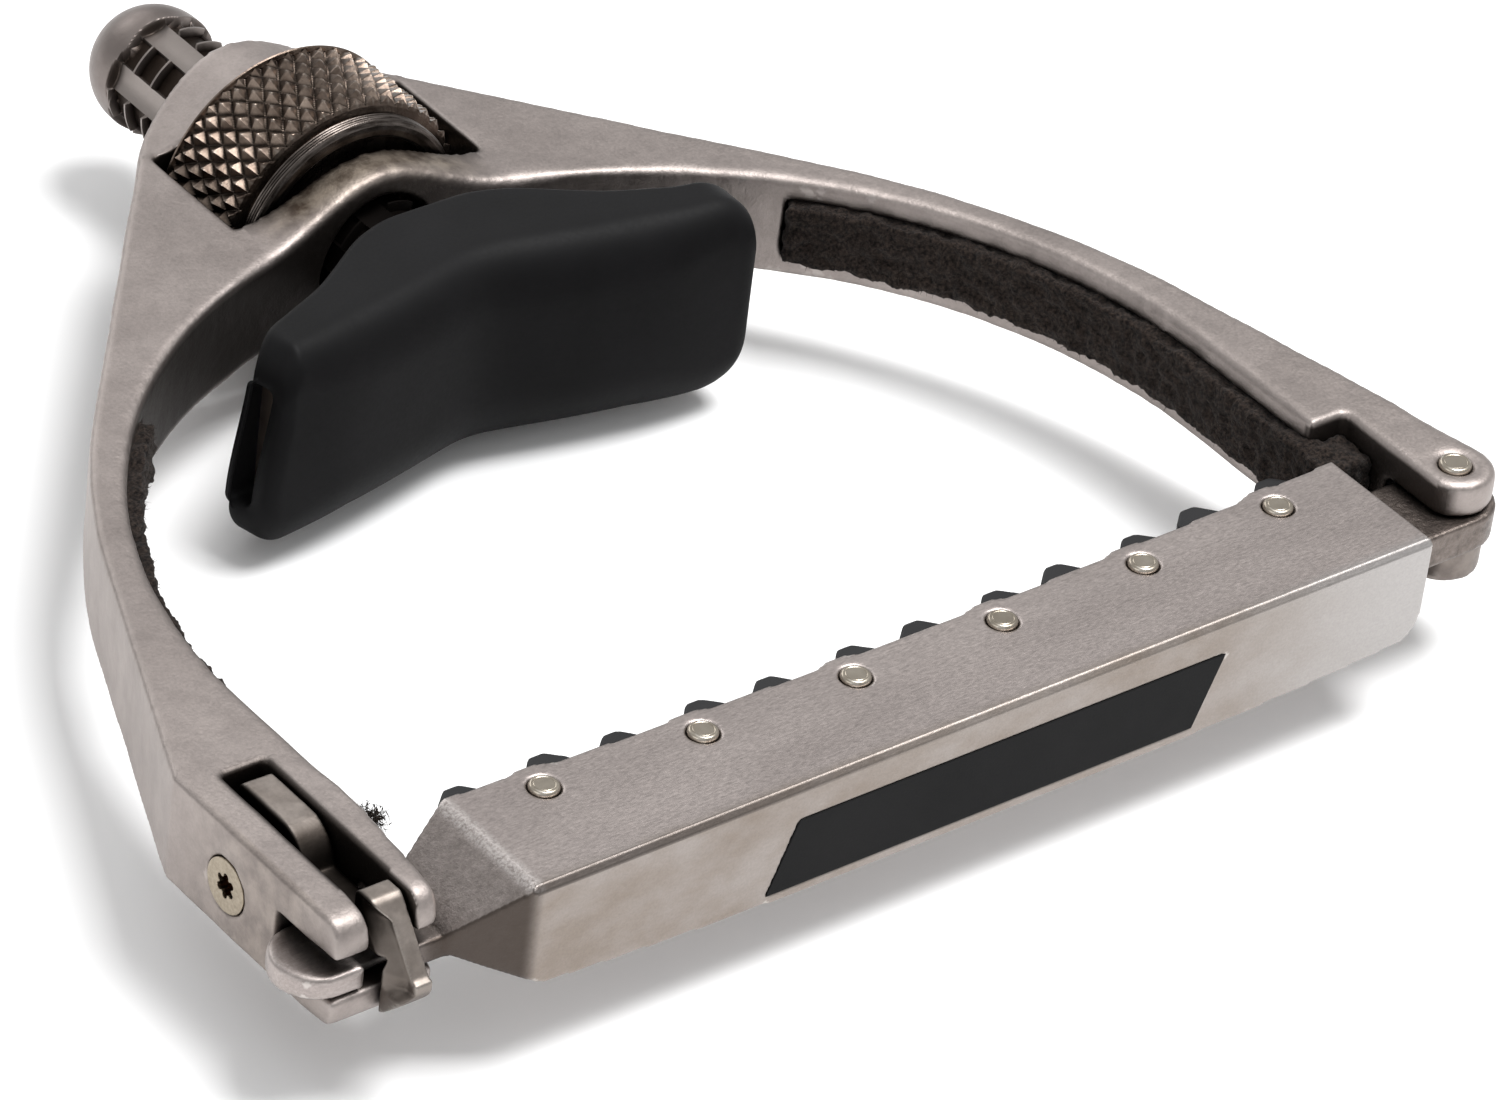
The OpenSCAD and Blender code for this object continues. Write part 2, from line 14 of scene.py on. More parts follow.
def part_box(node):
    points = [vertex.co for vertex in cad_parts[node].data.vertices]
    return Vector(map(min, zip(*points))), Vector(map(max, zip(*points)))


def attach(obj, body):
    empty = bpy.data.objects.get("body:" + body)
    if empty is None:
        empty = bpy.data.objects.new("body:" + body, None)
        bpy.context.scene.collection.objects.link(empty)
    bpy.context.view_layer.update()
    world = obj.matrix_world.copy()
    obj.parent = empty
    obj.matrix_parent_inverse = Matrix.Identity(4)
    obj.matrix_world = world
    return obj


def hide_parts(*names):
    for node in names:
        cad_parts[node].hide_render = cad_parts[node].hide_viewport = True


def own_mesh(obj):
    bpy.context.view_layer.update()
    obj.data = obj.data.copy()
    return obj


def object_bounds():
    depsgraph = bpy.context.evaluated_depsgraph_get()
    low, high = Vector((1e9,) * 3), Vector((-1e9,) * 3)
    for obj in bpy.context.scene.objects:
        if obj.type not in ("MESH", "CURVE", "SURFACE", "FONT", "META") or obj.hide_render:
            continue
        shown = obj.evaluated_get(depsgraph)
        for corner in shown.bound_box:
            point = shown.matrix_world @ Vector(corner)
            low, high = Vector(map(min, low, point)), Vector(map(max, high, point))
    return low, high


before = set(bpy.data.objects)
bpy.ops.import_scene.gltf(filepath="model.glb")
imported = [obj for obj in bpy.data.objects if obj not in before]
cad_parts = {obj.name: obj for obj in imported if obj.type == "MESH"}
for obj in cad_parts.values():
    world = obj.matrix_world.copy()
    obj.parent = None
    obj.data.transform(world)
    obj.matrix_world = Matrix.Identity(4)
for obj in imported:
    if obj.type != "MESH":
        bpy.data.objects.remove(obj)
cad_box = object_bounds()

MM = 0.001


def middle(node):
    low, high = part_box(node)
    return (low + high) / 2


ORIGIN = Vector(
    (middle("thumb_nut").x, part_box("string_bar")[0].y, middle("thumb_nut").z)
)


def to_frame(points):
    """Millimetres from the screw's axis and the bar's front face, to the frame's metres."""
    return np.asarray(points, float) * MM + np.array(ORIGIN)


def to_mm(points):
    return (np.asarray(points, float) - np.array(ORIGIN)) / MM


def box_mm(node):
    low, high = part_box(node)
    return to_mm(low), to_mm(high)


# ---------------------------------------------------------------- materials


def node_tree(name):
    mat = bpy.data.materials.new(name)
    mat.use_nodes = True
    nt = mat.node_tree
    bsdf = next(n for n in nt.nodes if n.type == "BSDF_PRINCIPLED")
    return mat, nt, bsdf


def coords(nt, scale):
    """Object coordinates in millimetres, times scale on each axis."""
    tc = nt.nodes.new("ShaderNodeTexCoord")
    mp = nt.nodes.new("ShaderNodeMapping")
    mp.inputs["Scale"].default_value = [s / MM for s in scale]
    nt.links.new(tc.outputs["Object"], mp.inputs["Vector"])
    return mp.outputs["Vector"]


def noise_tex(nt, scale=(1, 1, 1), detail=3.0, rough=0.55, distort=0.0):
    n = nt.nodes.new("ShaderNodeTexNoise")
    n.inputs["Scale"].default_value = 1.0
    n.inputs["Detail"].default_value = detail
    n.inputs["Roughness"].default_value = rough
    n.inputs["Distortion"].default_value = distort
    nt.links.new(coords(nt, scale), n.inputs["Vector"])
    return n.outputs["Fac"]


def ramp(nt, fac, stops):
    r = nt.nodes.new("ShaderNodeValToRGB")
    e = r.color_ramp.elements
    while len(e) < len(stops):
        e.new(0.5)
    for el, (pos, col) in zip(e, stops):
        el.position = pos
        el.color = (col, col, col, 1) if isinstance(col, (int, float)) else (*col, 1)
    nt.links.new(fac, r.inputs["Fac"])
    return r.outputs["Color"]


def mix(nt, fac, a, b, mode="MIX"):
    m = nt.nodes.new("ShaderNodeMix")
    m.data_type = "RGBA"
    m.blend_type = mode
    for socket, value in ((0, fac), (6, a), (7, b)):
        if isinstance(value, bpy.types.NodeSocket):
            nt.links.new(value, m.inputs[socket])
        elif socket == 0:
            m.inputs[0].default_value = value
        else:
            m.inputs[socket].default_value = (*value, 1)
    return m.outputs[2]


def maths(nt, op, a, b):
    m = nt.nodes.new("ShaderNodeMath")
    m.operation = op
    for i, value in enumerate((a, b)):
        if isinstance(value, bpy.types.NodeSocket):
            nt.links.new(value, m.inputs[i])
        else:
            m.inputs[i].default_value = value
    return m.outputs[0]


def times(nt, a, b):
    return maths(nt, "MULTIPLY", a, b)


def spread(nt, value, low, high):
    """A 0 to 1 value to low..high."""
    r = nt.nodes.new("ShaderNodeMapRange")
    nt.links.new(value, r.inputs["Value"])
    r.inputs["To Min"].default_value = low
    r.inputs["To Max"].default_value = high
    return r.outputs["Result"]


def bump(nt, heights):
    """heights is a list of (socket, depth in mm); returns the last Bump's normal."""
    normal = None
    for socket, depth in heights:
        b = nt.nodes.new("ShaderNodeBump")
        b.inputs["Strength"].default_value = 1.0
        b.inputs["Distance"].default_value = depth * MM
        nt.links.new(socket, b.inputs["Height"])
        if normal is not None:
            nt.links.new(normal, b.inputs["Normal"])
        normal = b.outputs["Normal"]
    return normal


def pointiness(nt, low, high):
    g = nt.nodes.new("ShaderNodeNewGeometry")
    return ramp(nt, g.outputs["Pointiness"], [(low, 0.0), (high, 1.0)])


def attribute(nt, name):
    a = nt.nodes.new("ShaderNodeAttribute")
    a.attribute_name = name
    return a.outputs["Fac"]


def ao_painted_shade(nt, reach, low, high):
    """Ambient occlusion factor for painted shade: 0 in corners tighter than reach millimetres, 1 in the open.
    """
    ao = nt.nodes.new("ShaderNodeAmbientOcclusion")
    ao.samples = 6
    ao.inputs["Distance"].default_value = reach * MM
    return ramp(nt, ao.outputs["AO"], [(low, 0.0), (high, 1.0)])


def components(nt, output):
    """X, Y and Z of a texture coordinate output."""
    tc = nt.nodes.new("ShaderNodeTexCoord")
    sep = nt.nodes.new("ShaderNodeSeparateXYZ")
    nt.links.new(tc.outputs[output], sep.inputs[0])
    return sep.outputs


def soft_step(nt, value, start, end):
    """0 where value is start, 1 where it is end."""
    r = nt.nodes.new("ShaderNodeMapRange")
    r.interpolation_type = "SMOOTHSTEP"
    r.inputs["From Min"].default_value = start
    r.inputs["From Max"].default_value = end
    nt.links.new(value, r.inputs["Value"])
    return r.outputs["Result"]


def along(nt, axis, start, end):
    """0 at start to 1 at end, in layout millimetres along axis 0, 1 or 2."""
    value = components(nt, "Object")[axis]
    return soft_step(nt, value, start * MM + ORIGIN[axis], end * MM + ORIGIN[axis])


def facing(nt, axis, low, high):
    """0 to 1 as the surface's normal along the axis goes from low to high."""
    return soft_step(nt, components(nt, "Normal")[axis], low, high)


BAR_TOP_Z = 2.5
CHAMFER = 0.27


def front_chamfer(nt):
    """1 on the bar's front upper chamfer, CHAMFER millimetres wide on each face."""
    _, y, z = components(nt, "Object")
    edge = (BAR_TOP_Z - CHAMFER) * MM + ORIGIN[2] - ORIGIN[1]
    return soft_step(nt, maths(nt, "SUBTRACT", z, y), edge - 0.12 * MM, edge - 0.04 * MM)


def finish_metal(nt, bsdf, colour, rough, relief):
    nt.links.new(colour, bsdf.inputs["Base Color"])
    bsdf.inputs["Metallic"].default_value = 1.0
    nt.links.new(rough, bsdf.inputs["Roughness"])
    nt.links.new(bump(nt, relief), bsdf.inputs["Normal"])


def cast_steel_material():
    """Tumbled casting: satin, finely speckled, edges lightened by rubbing and partly by a painted highlight,
    corners darkened with painted shade.
    """
    mat, nt, bsdf = node_tree("cast_steel")
    cloud = noise_tex(nt, (0.14, 0.14, 0.14), 4.0)
    speck = noise_tex(nt, (6.5, 6.5, 6.5), 4.0, 0.65)
    blot = noise_tex(nt, (0.9, 0.9, 0.9), 4.0, 0.6)
    colour = ramp(nt, cloud, [(0.3, (0.300, 0.263, 0.246)), (0.7, (0.385, 0.340, 0.320))])
    colour = mix(nt, 0.45, colour, ramp(nt, speck, [(0.3, 0.66), (0.66, 1.0)]), "MULTIPLY")
    colour = mix(nt, 0.4, colour, ramp(nt, blot, [(0.32, 0.72), (0.6, 1.0)]), "MULTIPLY")
    # Convex edges lightened: rubbed wear, and partly a painted highlight
    edge = pointiness(nt, 0.512, 0.60)
    colour = mix(nt, times(nt, edge, 0.30), colour, (0.50, 0.46, 0.435))
    rust = ramp(nt, blot, [(0.36, (0.075, 0.052, 0.036)), (0.62, (0.30, 0.250, 0.200))])
    colour = mix(nt, attribute(nt, "stain"), colour, rust)
    # Painted shade in corners and recesses, from ambient occlusion
    colour = mix(nt, ao_painted_shade(nt, 2.2, 0.10, 0.62), (0.030, 0.024, 0.020), colour)
    # Painted shade in the window, slot and bore, by the saddle and over the rims' highlights, from the mesh
    # attribute
    colour = mix(nt, attribute(nt, "shade_and_grime"), colour, (0.022, 0.017, 0.014))
    rough = maths(nt, "SUBTRACT", spread(nt, speck, 0.39, 0.60), times(nt, edge, 0.08))
    relief = [(speck, 0.016), (noise_tex(nt, (1.1, 1.1, 1.1), 3.0), 0.035)]
    finish_metal(nt, bsdf, colour, rough, relief)
    return mat


def bar_steel_material():
    """Fine short grain along the bar on top, a smoother front warmed and lightened towards the hinge end
    partly by painted reflection, cast ends left darker.
    """
    mat, nt, bsdf = node_tree("bar_steel")
    grain = noise_tex(nt, (2.6, 8.5, 8.5), 5.0, 0.72, 0.5)
    fine = noise_tex(nt, (8.0, 8.0, 8.0), 3.0, 0.6)
    cloud = noise_tex(nt, (0.12, 0.35, 0.35), 3.0)
    front = along(nt, 1, 0.9, 0.05)
    taper = times(nt, along(nt, 0, -23.4, -24.2), along(nt, 0, -28.6, -27.4))
    ends = maths(nt, "MAXIMUM", taper, along(nt, 0, 26.0, 26.6))
    colour = ramp(nt, cloud, [(0.3, (0.385, 0.338, 0.320)), (0.7, (0.470, 0.416, 0.394))])
    # The front's warm tone, lightening towards the hinge end, is partly its own tone and partly painted
    # reflection
    tan = noise_tex(nt, (0.30, 0.5, 0.5), 3.0, 0.6)
    warm = ramp(nt, tan, [(0.32, (0.268, 0.226, 0.194)), (0.68, (0.345, 0.308, 0.285))])
    warm = mix(nt, along(nt, 0, 10.0, 26.0), warm, (0.425, 0.405, 0.395))
    colour = mix(nt, front, colour, warm)
    grained = ramp(nt, grain, [(0.3, 0.55), (0.64, 1.0)])
    strength = maths(nt, "SUBTRACT", 0.62, times(nt, front, 0.42))
    colour = mix(nt, strength, colour, grained, "MULTIPLY")
    colour = mix(nt, 0.3, colour, ramp(nt, fine, [(0.3, 0.66), (0.65, 1.0)]), "MULTIPLY")
    # Convex edges lightened: rubbed wear, and partly a painted highlight
    edge = pointiness(nt, 0.515, 0.60)
    colour = mix(nt, times(nt, edge, 0.6), colour, (0.60, 0.56, 0.53))
    cast = noise_tex(nt, (2.2, 2.2, 2.2), 5.0, 0.7)
    dull = ramp(nt, cast, [(0.33, (0.115, 0.098, 0.088)), (0.70, (0.27, 0.240, 0.224))])
    colour = mix(nt, times(nt, ends, 0.62), colour, dull)
    # The taper's front side gets painted shade, darker still, and its ridge with the top is worn bright
    taper_front_shade = times(nt, taper, facing(nt, 1, -0.15, -0.45))
    colour = mix(nt, times(nt, taper_front_shade, 0.93), colour, (0.060, 0.048, 0.041))
    ridge = times(nt, along(nt, 0, -24.3, -23.85), along(nt, 0, -23.2, -23.65))
    ridge = times(nt, ridge, facing(nt, 2, 0.3, 0.7))
    worn = times(nt, ridge, ramp(nt, fine, [(0.35, 0.1), (0.6, 0.7)]))
    colour = mix(nt, worn, colour, (0.62, 0.58, 0.56))
    neck = times(nt, along(nt, 0, -26.7, -27.2), along(nt, 0, -29.5, -29.0))
    colour = mix(nt, times(nt, neck, 0.7), colour, (0.060, 0.047, 0.040))
    # Painted shade on the chamfer, darkest at the taper's end
    chamfer_shade = times(nt, front_chamfer(nt), along(nt, 0, 4.0, -19.0))
    colour = mix(nt, times(nt, chamfer_shade, 0.70), colour, (0.075, 0.062, 0.056))
    rusty = ramp(nt, cast, [(0.35, (0.050, 0.036, 0.028)), (0.68, (0.150, 0.118, 0.100))])
    colour = mix(nt, times(nt, along(nt, 0, 26.2, 27.0), 0.68), colour, rusty)
    # Painted shade in corners and recesses, from ambient occlusion
    colour = mix(nt, ao_painted_shade(nt, 1.6, 0.08, 0.60), (0.022, 0.018, 0.015), colour)
    relief = [(grain, 0.010), (fine, 0.005), (times(nt, cast, ends), 0.05)]
    finish_metal(nt, bsdf, colour, spread(nt, grain, 0.30, 0.50), relief)
    return mat


def latch_steel_material():
    """Satin steel, with painted shade on the arm and side down in the slot; 'shaded' darkens the finger's
    sides and foot.
    """
    mat, nt, bsdf = node_tree("latch_steel")
    grain = noise_tex(nt, (4.0, 4.0, 4.0), 4.0, 0.6)
    cloud = noise_tex(nt, (0.6, 0.6, 0.6), 2.0)
    colour = ramp(nt, cloud, [(0.3, (0.22, 0.190, 0.168)), (0.7, (0.33, 0.290, 0.262))])
    colour = mix(nt, 0.4, colour, ramp(nt, grain, [(0.3, 0.65), (0.65, 1.0)]), "MULTIPLY")
    # Convex edges lightened: rubbed wear, and partly a painted highlight
    edge = pointiness(nt, 0.515, 0.60)
    colour = mix(nt, times(nt, edge, 0.6), colour, (0.56, 0.53, 0.49))
    # Painted shade in corners and recesses, from ambient occlusion
    colour = mix(nt, ao_painted_shade(nt, 1.6, 0.14, 0.70), (0.020, 0.016, 0.013), colour)
    # Painted shade on the arm between the hook and the thumb lobe, down in the slot, and on the side by the
    # slot's wall
    arm = times(nt, along(nt, 1, 3.5, 4.3), along(nt, 1, 9.6, 8.0))
    side = times(nt, along(nt, 0, -30.20, -30.42), along(nt, 1, 1.7, 2.6))
    slot_shade = maths(nt, "MAXIMUM", arm, side)
    colour = mix(nt, times(nt, slot_shade, 0.93), colour, (0.012, 0.009, 0.007))
    shaded = times(nt, attribute(nt, "shaded"), 0.6)
    colour = mix(nt, shaded, colour, (0.062, 0.050, 0.042))
    finish_metal(nt, bsdf, colour, spread(nt, grain, 0.38, 0.55), [(grain, 0.010)])
    return mat


def star_screw_material():
    """Beige plated steel; the star's recess is coloured dark brown."""
    mat, nt, bsdf = node_tree("star_screw")
    grain = noise_tex(nt, (6.0, 6.0, 6.0), 3.0, 0.6)
    colour = ramp(nt, grain, [(0.3, (0.235, 0.195, 0.145)), (0.7, (0.350, 0.300, 0.232))])
    colour = mix(nt, along(nt, 0, -32.72, -32.58), colour, (0.110, 0.058, 0.034))
    finish_metal(nt, bsdf, colour, spread(nt, grain, 0.28, 0.42), [(grain, 0.008)])
    return mat


def metal(name, dark, light, rough, scale, depth, edge_colour=None, edge_at=(0.51, 0.58)):
    """A plain worn metal: cloudy colour between dark and light, with grain in gloss and relief."""
    mat, nt, bsdf = node_tree(name)
    grain = noise_tex(nt, (scale, scale, scale), 4.0, 0.6)
    cloud = noise_tex(nt, (scale / 8, scale / 8, scale / 8), 2.0)
    colour = ramp(nt, cloud, [(0.3, dark), (0.7, light)])
    # Convex edges lightened to edge_colour: rubbed wear, and partly a painted highlight
    if edge_colour:
        colour = mix(nt, pointiness(nt, *edge_at), colour, edge_colour)
    finish_metal(nt, bsdf, colour, spread(nt, grain, *rough), [(grain, depth)])
    return mat


def screw_material():
    """Dark oiled steel; 'flute' lightens the plain surfaces, 'recess' paints shade into the thread's spaces.
    """
    mat, nt, bsdf = node_tree("screw_gunmetal")
    grain = noise_tex(nt, (3.5, 3.5, 3.5), 4.0, 0.6)
    cloud = noise_tex(nt, (0.5, 0.5, 0.5), 2.0)
    colour = ramp(nt, cloud, [(0.3, (0.160, 0.135, 0.125)), (0.7, (0.215, 0.186, 0.173))])
    colour = mix(nt, attribute(nt, "flute"), colour, (0.255, 0.226, 0.210))
    # Painted shade in the thread's spaces and in the flutes' end corners
    colour = mix(nt, attribute(nt, "recess"), colour, (0.034, 0.025, 0.020))
    # Painted shade on the screw where it runs inside the yoke's bore, behind the arch
    bore_shade = times(nt, along(nt, 1, 46.8, 45.2), 0.98)
    colour = mix(nt, bore_shade, colour, (0.005, 0.004, 0.0035))
    # Painted shade in corners and recesses, from ambient occlusion
    colour = mix(nt, ao_painted_shade(nt, 1.4, 0.05, 0.5), (0.010, 0.008, 0.007), colour)
    rough = maths(nt, "ADD", spread(nt, grain, 0.36, 0.52), times(nt, bore_shade, 0.35))
    finish_metal(nt, bsdf, colour, rough, [(grain, 0.012)])
    return mat


def nut_material():
    """Dark oiled steel; 'peak' lightens the worn knurl points, partly as a painted highlight, 'root' paints
    shade into the grooves.
    """
    mat, nt, bsdf = node_tree("nut_gunmetal")
    grain = noise_tex(nt, (6.0, 6.0, 6.0), 4.0, 0.65)
    cloud = noise_tex(nt, (0.9, 0.9, 0.9), 3.0)
    colour = ramp(nt, cloud, [(0.3, (0.100, 0.073, 0.058)), (0.7, (0.240, 0.190, 0.156))])
    colour = mix(nt, 0.5, colour, ramp(nt, grain, [(0.3, 0.40), (0.7, 1.0)]), "MULTIPLY")
    turned = noise_tex(nt, (0.8, 14.0, 0.8), 3.0)
    worn = ramp(nt, turned, [(0.35, (0.035, 0.028, 0.024)), (0.68, (0.15, 0.130, 0.118))])
    colour = mix(nt, attribute(nt, "collar"), colour, worn)
    # Knurl points lightened: wear, and partly a painted highlight
    colour = mix(nt, attribute(nt, "peak"), colour, (0.47, 0.415, 0.365))
    # Painted shade in the knurl's grooves
    colour = mix(nt, attribute(nt, "root"), colour, (0.008, 0.006, 0.005))
    # Painted shade in corners and recesses, from ambient occlusion
    colour = mix(nt, ao_painted_shade(nt, 1.2, 0.06, 0.45), (0.006, 0.005, 0.004), colour)
    finish_metal(nt, bsdf, colour, spread(nt, grain, 0.20, 0.42), [(grain, 0.016)])
    return mat


def rubber_material(name, dark, light, rough, grain_scale, depth, gloss=0.3):
    """Matt rubber or enamel, with a painted sheen: glossier on top than on its sides."""
    mat, nt, bsdf = node_tree(name)
    grain = noise_tex(nt, (grain_scale,) * 3, 3.0, 0.6)
    cloud = noise_tex(nt, (0.25, 0.25, 0.25), 3.0)
    nt.links.new(ramp(nt, cloud, [(0.3, dark), (0.7, light)]), bsdf.inputs["Base Color"])
    nt.links.new(spread(nt, grain, *rough), bsdf.inputs["Roughness"])
    # Specular raised on faces turned up: a painted sheen on top
    up = spread(nt, facing(nt, 2, 0.1, 0.9), 0.55 * gloss, gloss)
    nt.links.new(up, bsdf.inputs["Specular IOR Level"])
    nt.links.new(bump(nt, [(grain, depth)]), bsdf.inputs["Normal"])
    return mat


def felt_material(name, dark, light):
    mat, nt, bsdf = node_tree(name)
    fuzz = noise_tex(nt, (5.5, 5.5, 5.5), 5.0, 0.72)
    cloud = noise_tex(nt, (0.5, 0.5, 0.5), 3.0)
    colour = ramp(nt, fuzz, [(0.38, dark), (0.72, light)])
    colour = mix(nt, 0.5, colour, ramp(nt, cloud, [(0.3, 0.5), (0.7, 1.0)]), "MULTIPLY")
    nt.links.new(colour, bsdf.inputs["Base Color"])
    bsdf.inputs["Roughness"].default_value = 0.95
    bsdf.inputs["Specular IOR Level"].default_value = 0.08
    bsdf.inputs["Sheen Weight"].default_value = 0.06
    bsdf.inputs["Sheen Roughness"].default_value = 0.5
    nt.links.new(bump(nt, [(fuzz, 0.12)]), bsdf.inputs["Normal"])
    return mat


CAST = cast_steel_material()
BAR = bar_steel_material()
LATCH = latch_steel_material()
PLATE = metal("plate_steel", (0.110, 0.084, 0.068), (0.215, 0.172, 0.145), (0.35, 0.5), 3.0, 0.01)
SPRING = metal("spring_steel", (0.26, 0.245, 0.23), (0.38, 0.36, 0.34), (0.2, 0.3), 6.0, 0.004)
NICKEL = metal(
    "nickel_pin",
    (0.290, 0.250, 0.200),
    (0.430, 0.385, 0.320),
    (0.24, 0.36),
    5.0,
    0.006,
    (0.52, 0.48, 0.42),
    (0.52, 0.62),
)
STAR = star_screw_material()
SCREW = screw_material()
NUT = nut_material()
SLEEVE = rubber_material(
    "sleeve_rubber", (0.0032, 0.0031, 0.0034), (0.0052, 0.0050, 0.0056), (0.52, 0.66), 5.0, 0.004, 0.14
)
PAD_RUBBER = rubber_material(
    "pad_rubber", (0.006, 0.006, 0.007), (0.013, 0.013, 0.014), (0.45, 0.62), 5.0, 0.012
)
ENAMEL = rubber_material(
    "black_enamel", (0.0030, 0.0030, 0.0034), (0.0058, 0.0056, 0.0060), (0.42, 0.60), 9.0, 0.005, 0.16
)
FELT = felt_material("felt", (0.004, 0.003, 0.003), (0.060, 0.044, 0.036))
FUZZ = felt_material("felt_fuzz", (0.010, 0.0075, 0.006), (0.085, 0.064, 0.052))


# ---------------------------------------------------------------- mesh helpers


def smoothstep(a, b, x):
    t = min(1.0, max(0.0, (x - a) / (b - a)))
    return t * t * (3 - 2 * t)


def new_object(name, points, faces, material, smooth=True):
    """A mesh object from points in millimetres in the layout frame."""
    mesh = bpy.data.meshes.new(name)
    mesh.from_pydata([tuple(p) for p in to_frame(points)], [], faces)
    mesh.validate()
    obj = bpy.data.objects.new(name, mesh)
    bpy.context.scene.collection.objects.link(obj)
    mesh.materials.append(material)
    mesh.polygons.foreach_set("use_smooth", [smooth] * len(mesh.polygons))
    return obj


def cad_copy(nodes, name, material):
    """Closed millimetre mesh of one or more CAD nodes, its split corners merged."""
    bm = bmesh.new()
    for node in nodes:
        bm.from_mesh(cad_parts[node].data)
    for v in bm.verts:
        v.co = Vector(to_mm(v.co))
    bmesh.ops.remove_doubles(bm, verts=bm.verts, dist=0.0005)
    mesh = bpy.data.meshes.new(name)
    bm.to_mesh(mesh)
    bm.free()
    mesh.materials.clear()
    mesh.materials.append(material)
    obj = bpy.data.objects.new(name, mesh)
    bpy.context.scene.collection.objects.link(obj)
    return obj


def apply_modifiers(obj):
    depsgraph = bpy.context.evaluated_depsgraph_get()
    mesh = bpy.data.meshes.new_from_object(obj.evaluated_get(depsgraph), depsgraph=depsgraph)
    old = obj.data
    obj.modifiers.clear()
    obj.data = mesh
    mesh.name = obj.name
    bpy.data.meshes.remove(old)


def softened(nodes, name, material, voxel, smooth, zones=()):
    """A CAD shape with rubbed edges: remeshed at voxel millimetres and smoothed. Each zone is
    (weights of the points, rounds of smoothing), worked out from the remeshed points."""
    obj = cad_copy(nodes, name, material)
    m = obj.modifiers.new("remesh", "REMESH")
    m.mode = "VOXEL"
    m.voxel_size = voxel
    m.use_smooth_shade = True
    apply_modifiers(obj)
    co, _ = vertices_of(obj)
    passes = [(None, smooth)] + [(zone(co), rounds) for zone, rounds in zones]
    for i, (weights, rounds) in enumerate(passes):
        s = obj.modifiers.new("smooth", "SMOOTH")
        s.factor = 0.5
        s.iterations = rounds
        if weights is not None:
            group = obj.vertex_groups.new(name=f"zone_{i}")
            for k in np.nonzero(weights > 0)[0]:
                group.add([int(k)], float(weights[k]), "REPLACE")
            s.vertex_group = group.name
    apply_modifiers(obj)
    return obj


def paint(node, material):
    """Gives a CAD node that stays a material."""
    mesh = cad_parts[node].data
    mesh.materials.clear()
    mesh.materials.append(material)


def place(obj):
    """Takes a millimetre mesh into the frame."""
    mesh = obj.data
    co = np.empty(len(mesh.vertices) * 3, np.float32)
    mesh.vertices.foreach_get("co", co)
    mesh.vertices.foreach_set("co", to_frame(co.reshape(-1, 3)).astype(np.float32).ravel())
    mesh.update()
    return obj


def vertices_of(obj):
    co = np.empty(len(obj.data.vertices) * 3, np.float32)
    obj.data.vertices.foreach_get("co", co)
    no = np.empty(len(obj.data.vertices) * 3, np.float32)
    obj.data.vertices.foreach_get("normal", no)
    return co.reshape(-1, 3).astype(float), no.reshape(-1, 3).astype(float)


def set_vertices(obj, co):
    obj.data.vertices.foreach_set("co", co.astype(np.float32).ravel())
    obj.data.update()


def rough_up(obj, amount, scale, seed):
    """Moves a millimetre mesh's points along their normals by smooth noise."""
    co, no = vertices_of(obj)
    shift = np.array([noise.noise(Vector(p * scale) + Vector((seed, 0, 0))) for p in co])
    set_vertices(obj, co + no * (amount * shift)[:, None])


def float_attribute(obj, name, values):
    a = obj.data.attributes.new(name, "FLOAT", "POINT")
    a.data.foreach_set("value", np.asarray(values, np.float32))


def grid_faces(rows, cols, wrap):
    """Quads of a grid of rows x cols points; wrap joins the last column to the first."""
    faces = []
    for i in range(rows - 1):
        for j in range(cols if wrap else cols - 1):
            k = (j + 1) % cols
            faces.append((i * cols + j, i * cols + k, (i + 1) * cols + k, (i + 1) * cols + j))
    return faces


def with_mesh(obj, change):
    """Runs change on the object's mesh as a bmesh."""
    bm = bmesh.new()
    bm.from_mesh(obj.data)
    change(bm)
    bm.to_mesh(obj.data)
    bm.free()


def face_outwards(bm):
    bmesh.ops.recalc_face_normals(bm, faces=bm.faces)


def pin_head(name, x, y, z0, r, height, material, tilt_seed):
    """A riveted pin end on a flat face: a rolled rim round a shallow dish, on a plain shank."""
    rng = random.Random(tilt_seed)
    dimple = Vector((rng.uniform(-0.08, 0.08), rng.uniform(-0.08, 0.08)))
    rings, around = 22, 44
    points = [(x, y, z0 - 0.5)]
    for a in range(around):
        t = 2 * math.pi * a / around
        points.append((x + r * math.cos(t), y + r * math.sin(t), z0 - 0.5))
    for i in range(rings):
        u = i / (rings - 1)
        rr = r * (1 - u)
        for a in range(around):
            t = 2 * math.pi * a / around
            px, py = rr * math.cos(t), rr * math.sin(t)
            s = (Vector((px, py)) - dimple * r * (1 - rr / r)).length / r
            crown = height * (0.42 + 0.58 * smoothstep(0.5, 0.76, s))
            crown *= math.sqrt(max(0.0, 1 - max(0.0, (rr / r - 0.78) / 0.22) ** 2))
            points.append((x + px, y + py, z0 + crown))
    faces = [(0, 1 + (a + 1) % around, 1 + a) for a in range(around)]
    for i in range(rings):
        for a in range(around):
            k = (a + 1) % around
            p, q = 1 + i * around, 1 + (i + 1) * around
            faces.append((p + a, p + k, q + k, q + a))
    obj = new_object(name, points, faces, material)
    with_mesh(obj, lambda bm: bmesh.ops.remove_doubles(bm, verts=bm.verts, dist=1e-7))
    return obj


# ---------------------------------------------------------------- camera, light and floor


def look(location, target, roll_deg):
    """Matrix of a camera or light at location that looks at target."""
    forward = (target - location).normalized()
    right = forward.cross(Vector((0, 0, 1))).normalized()
    up = right.cross(forward)
    roll = math.radians(roll_deg)
    top = up * math.cos(roll) + right * math.sin(roll)
    side = forward.cross(top)
    m = Matrix((side, top, -forward)).transposed().to_4x4()
    m.translation = location
    return m


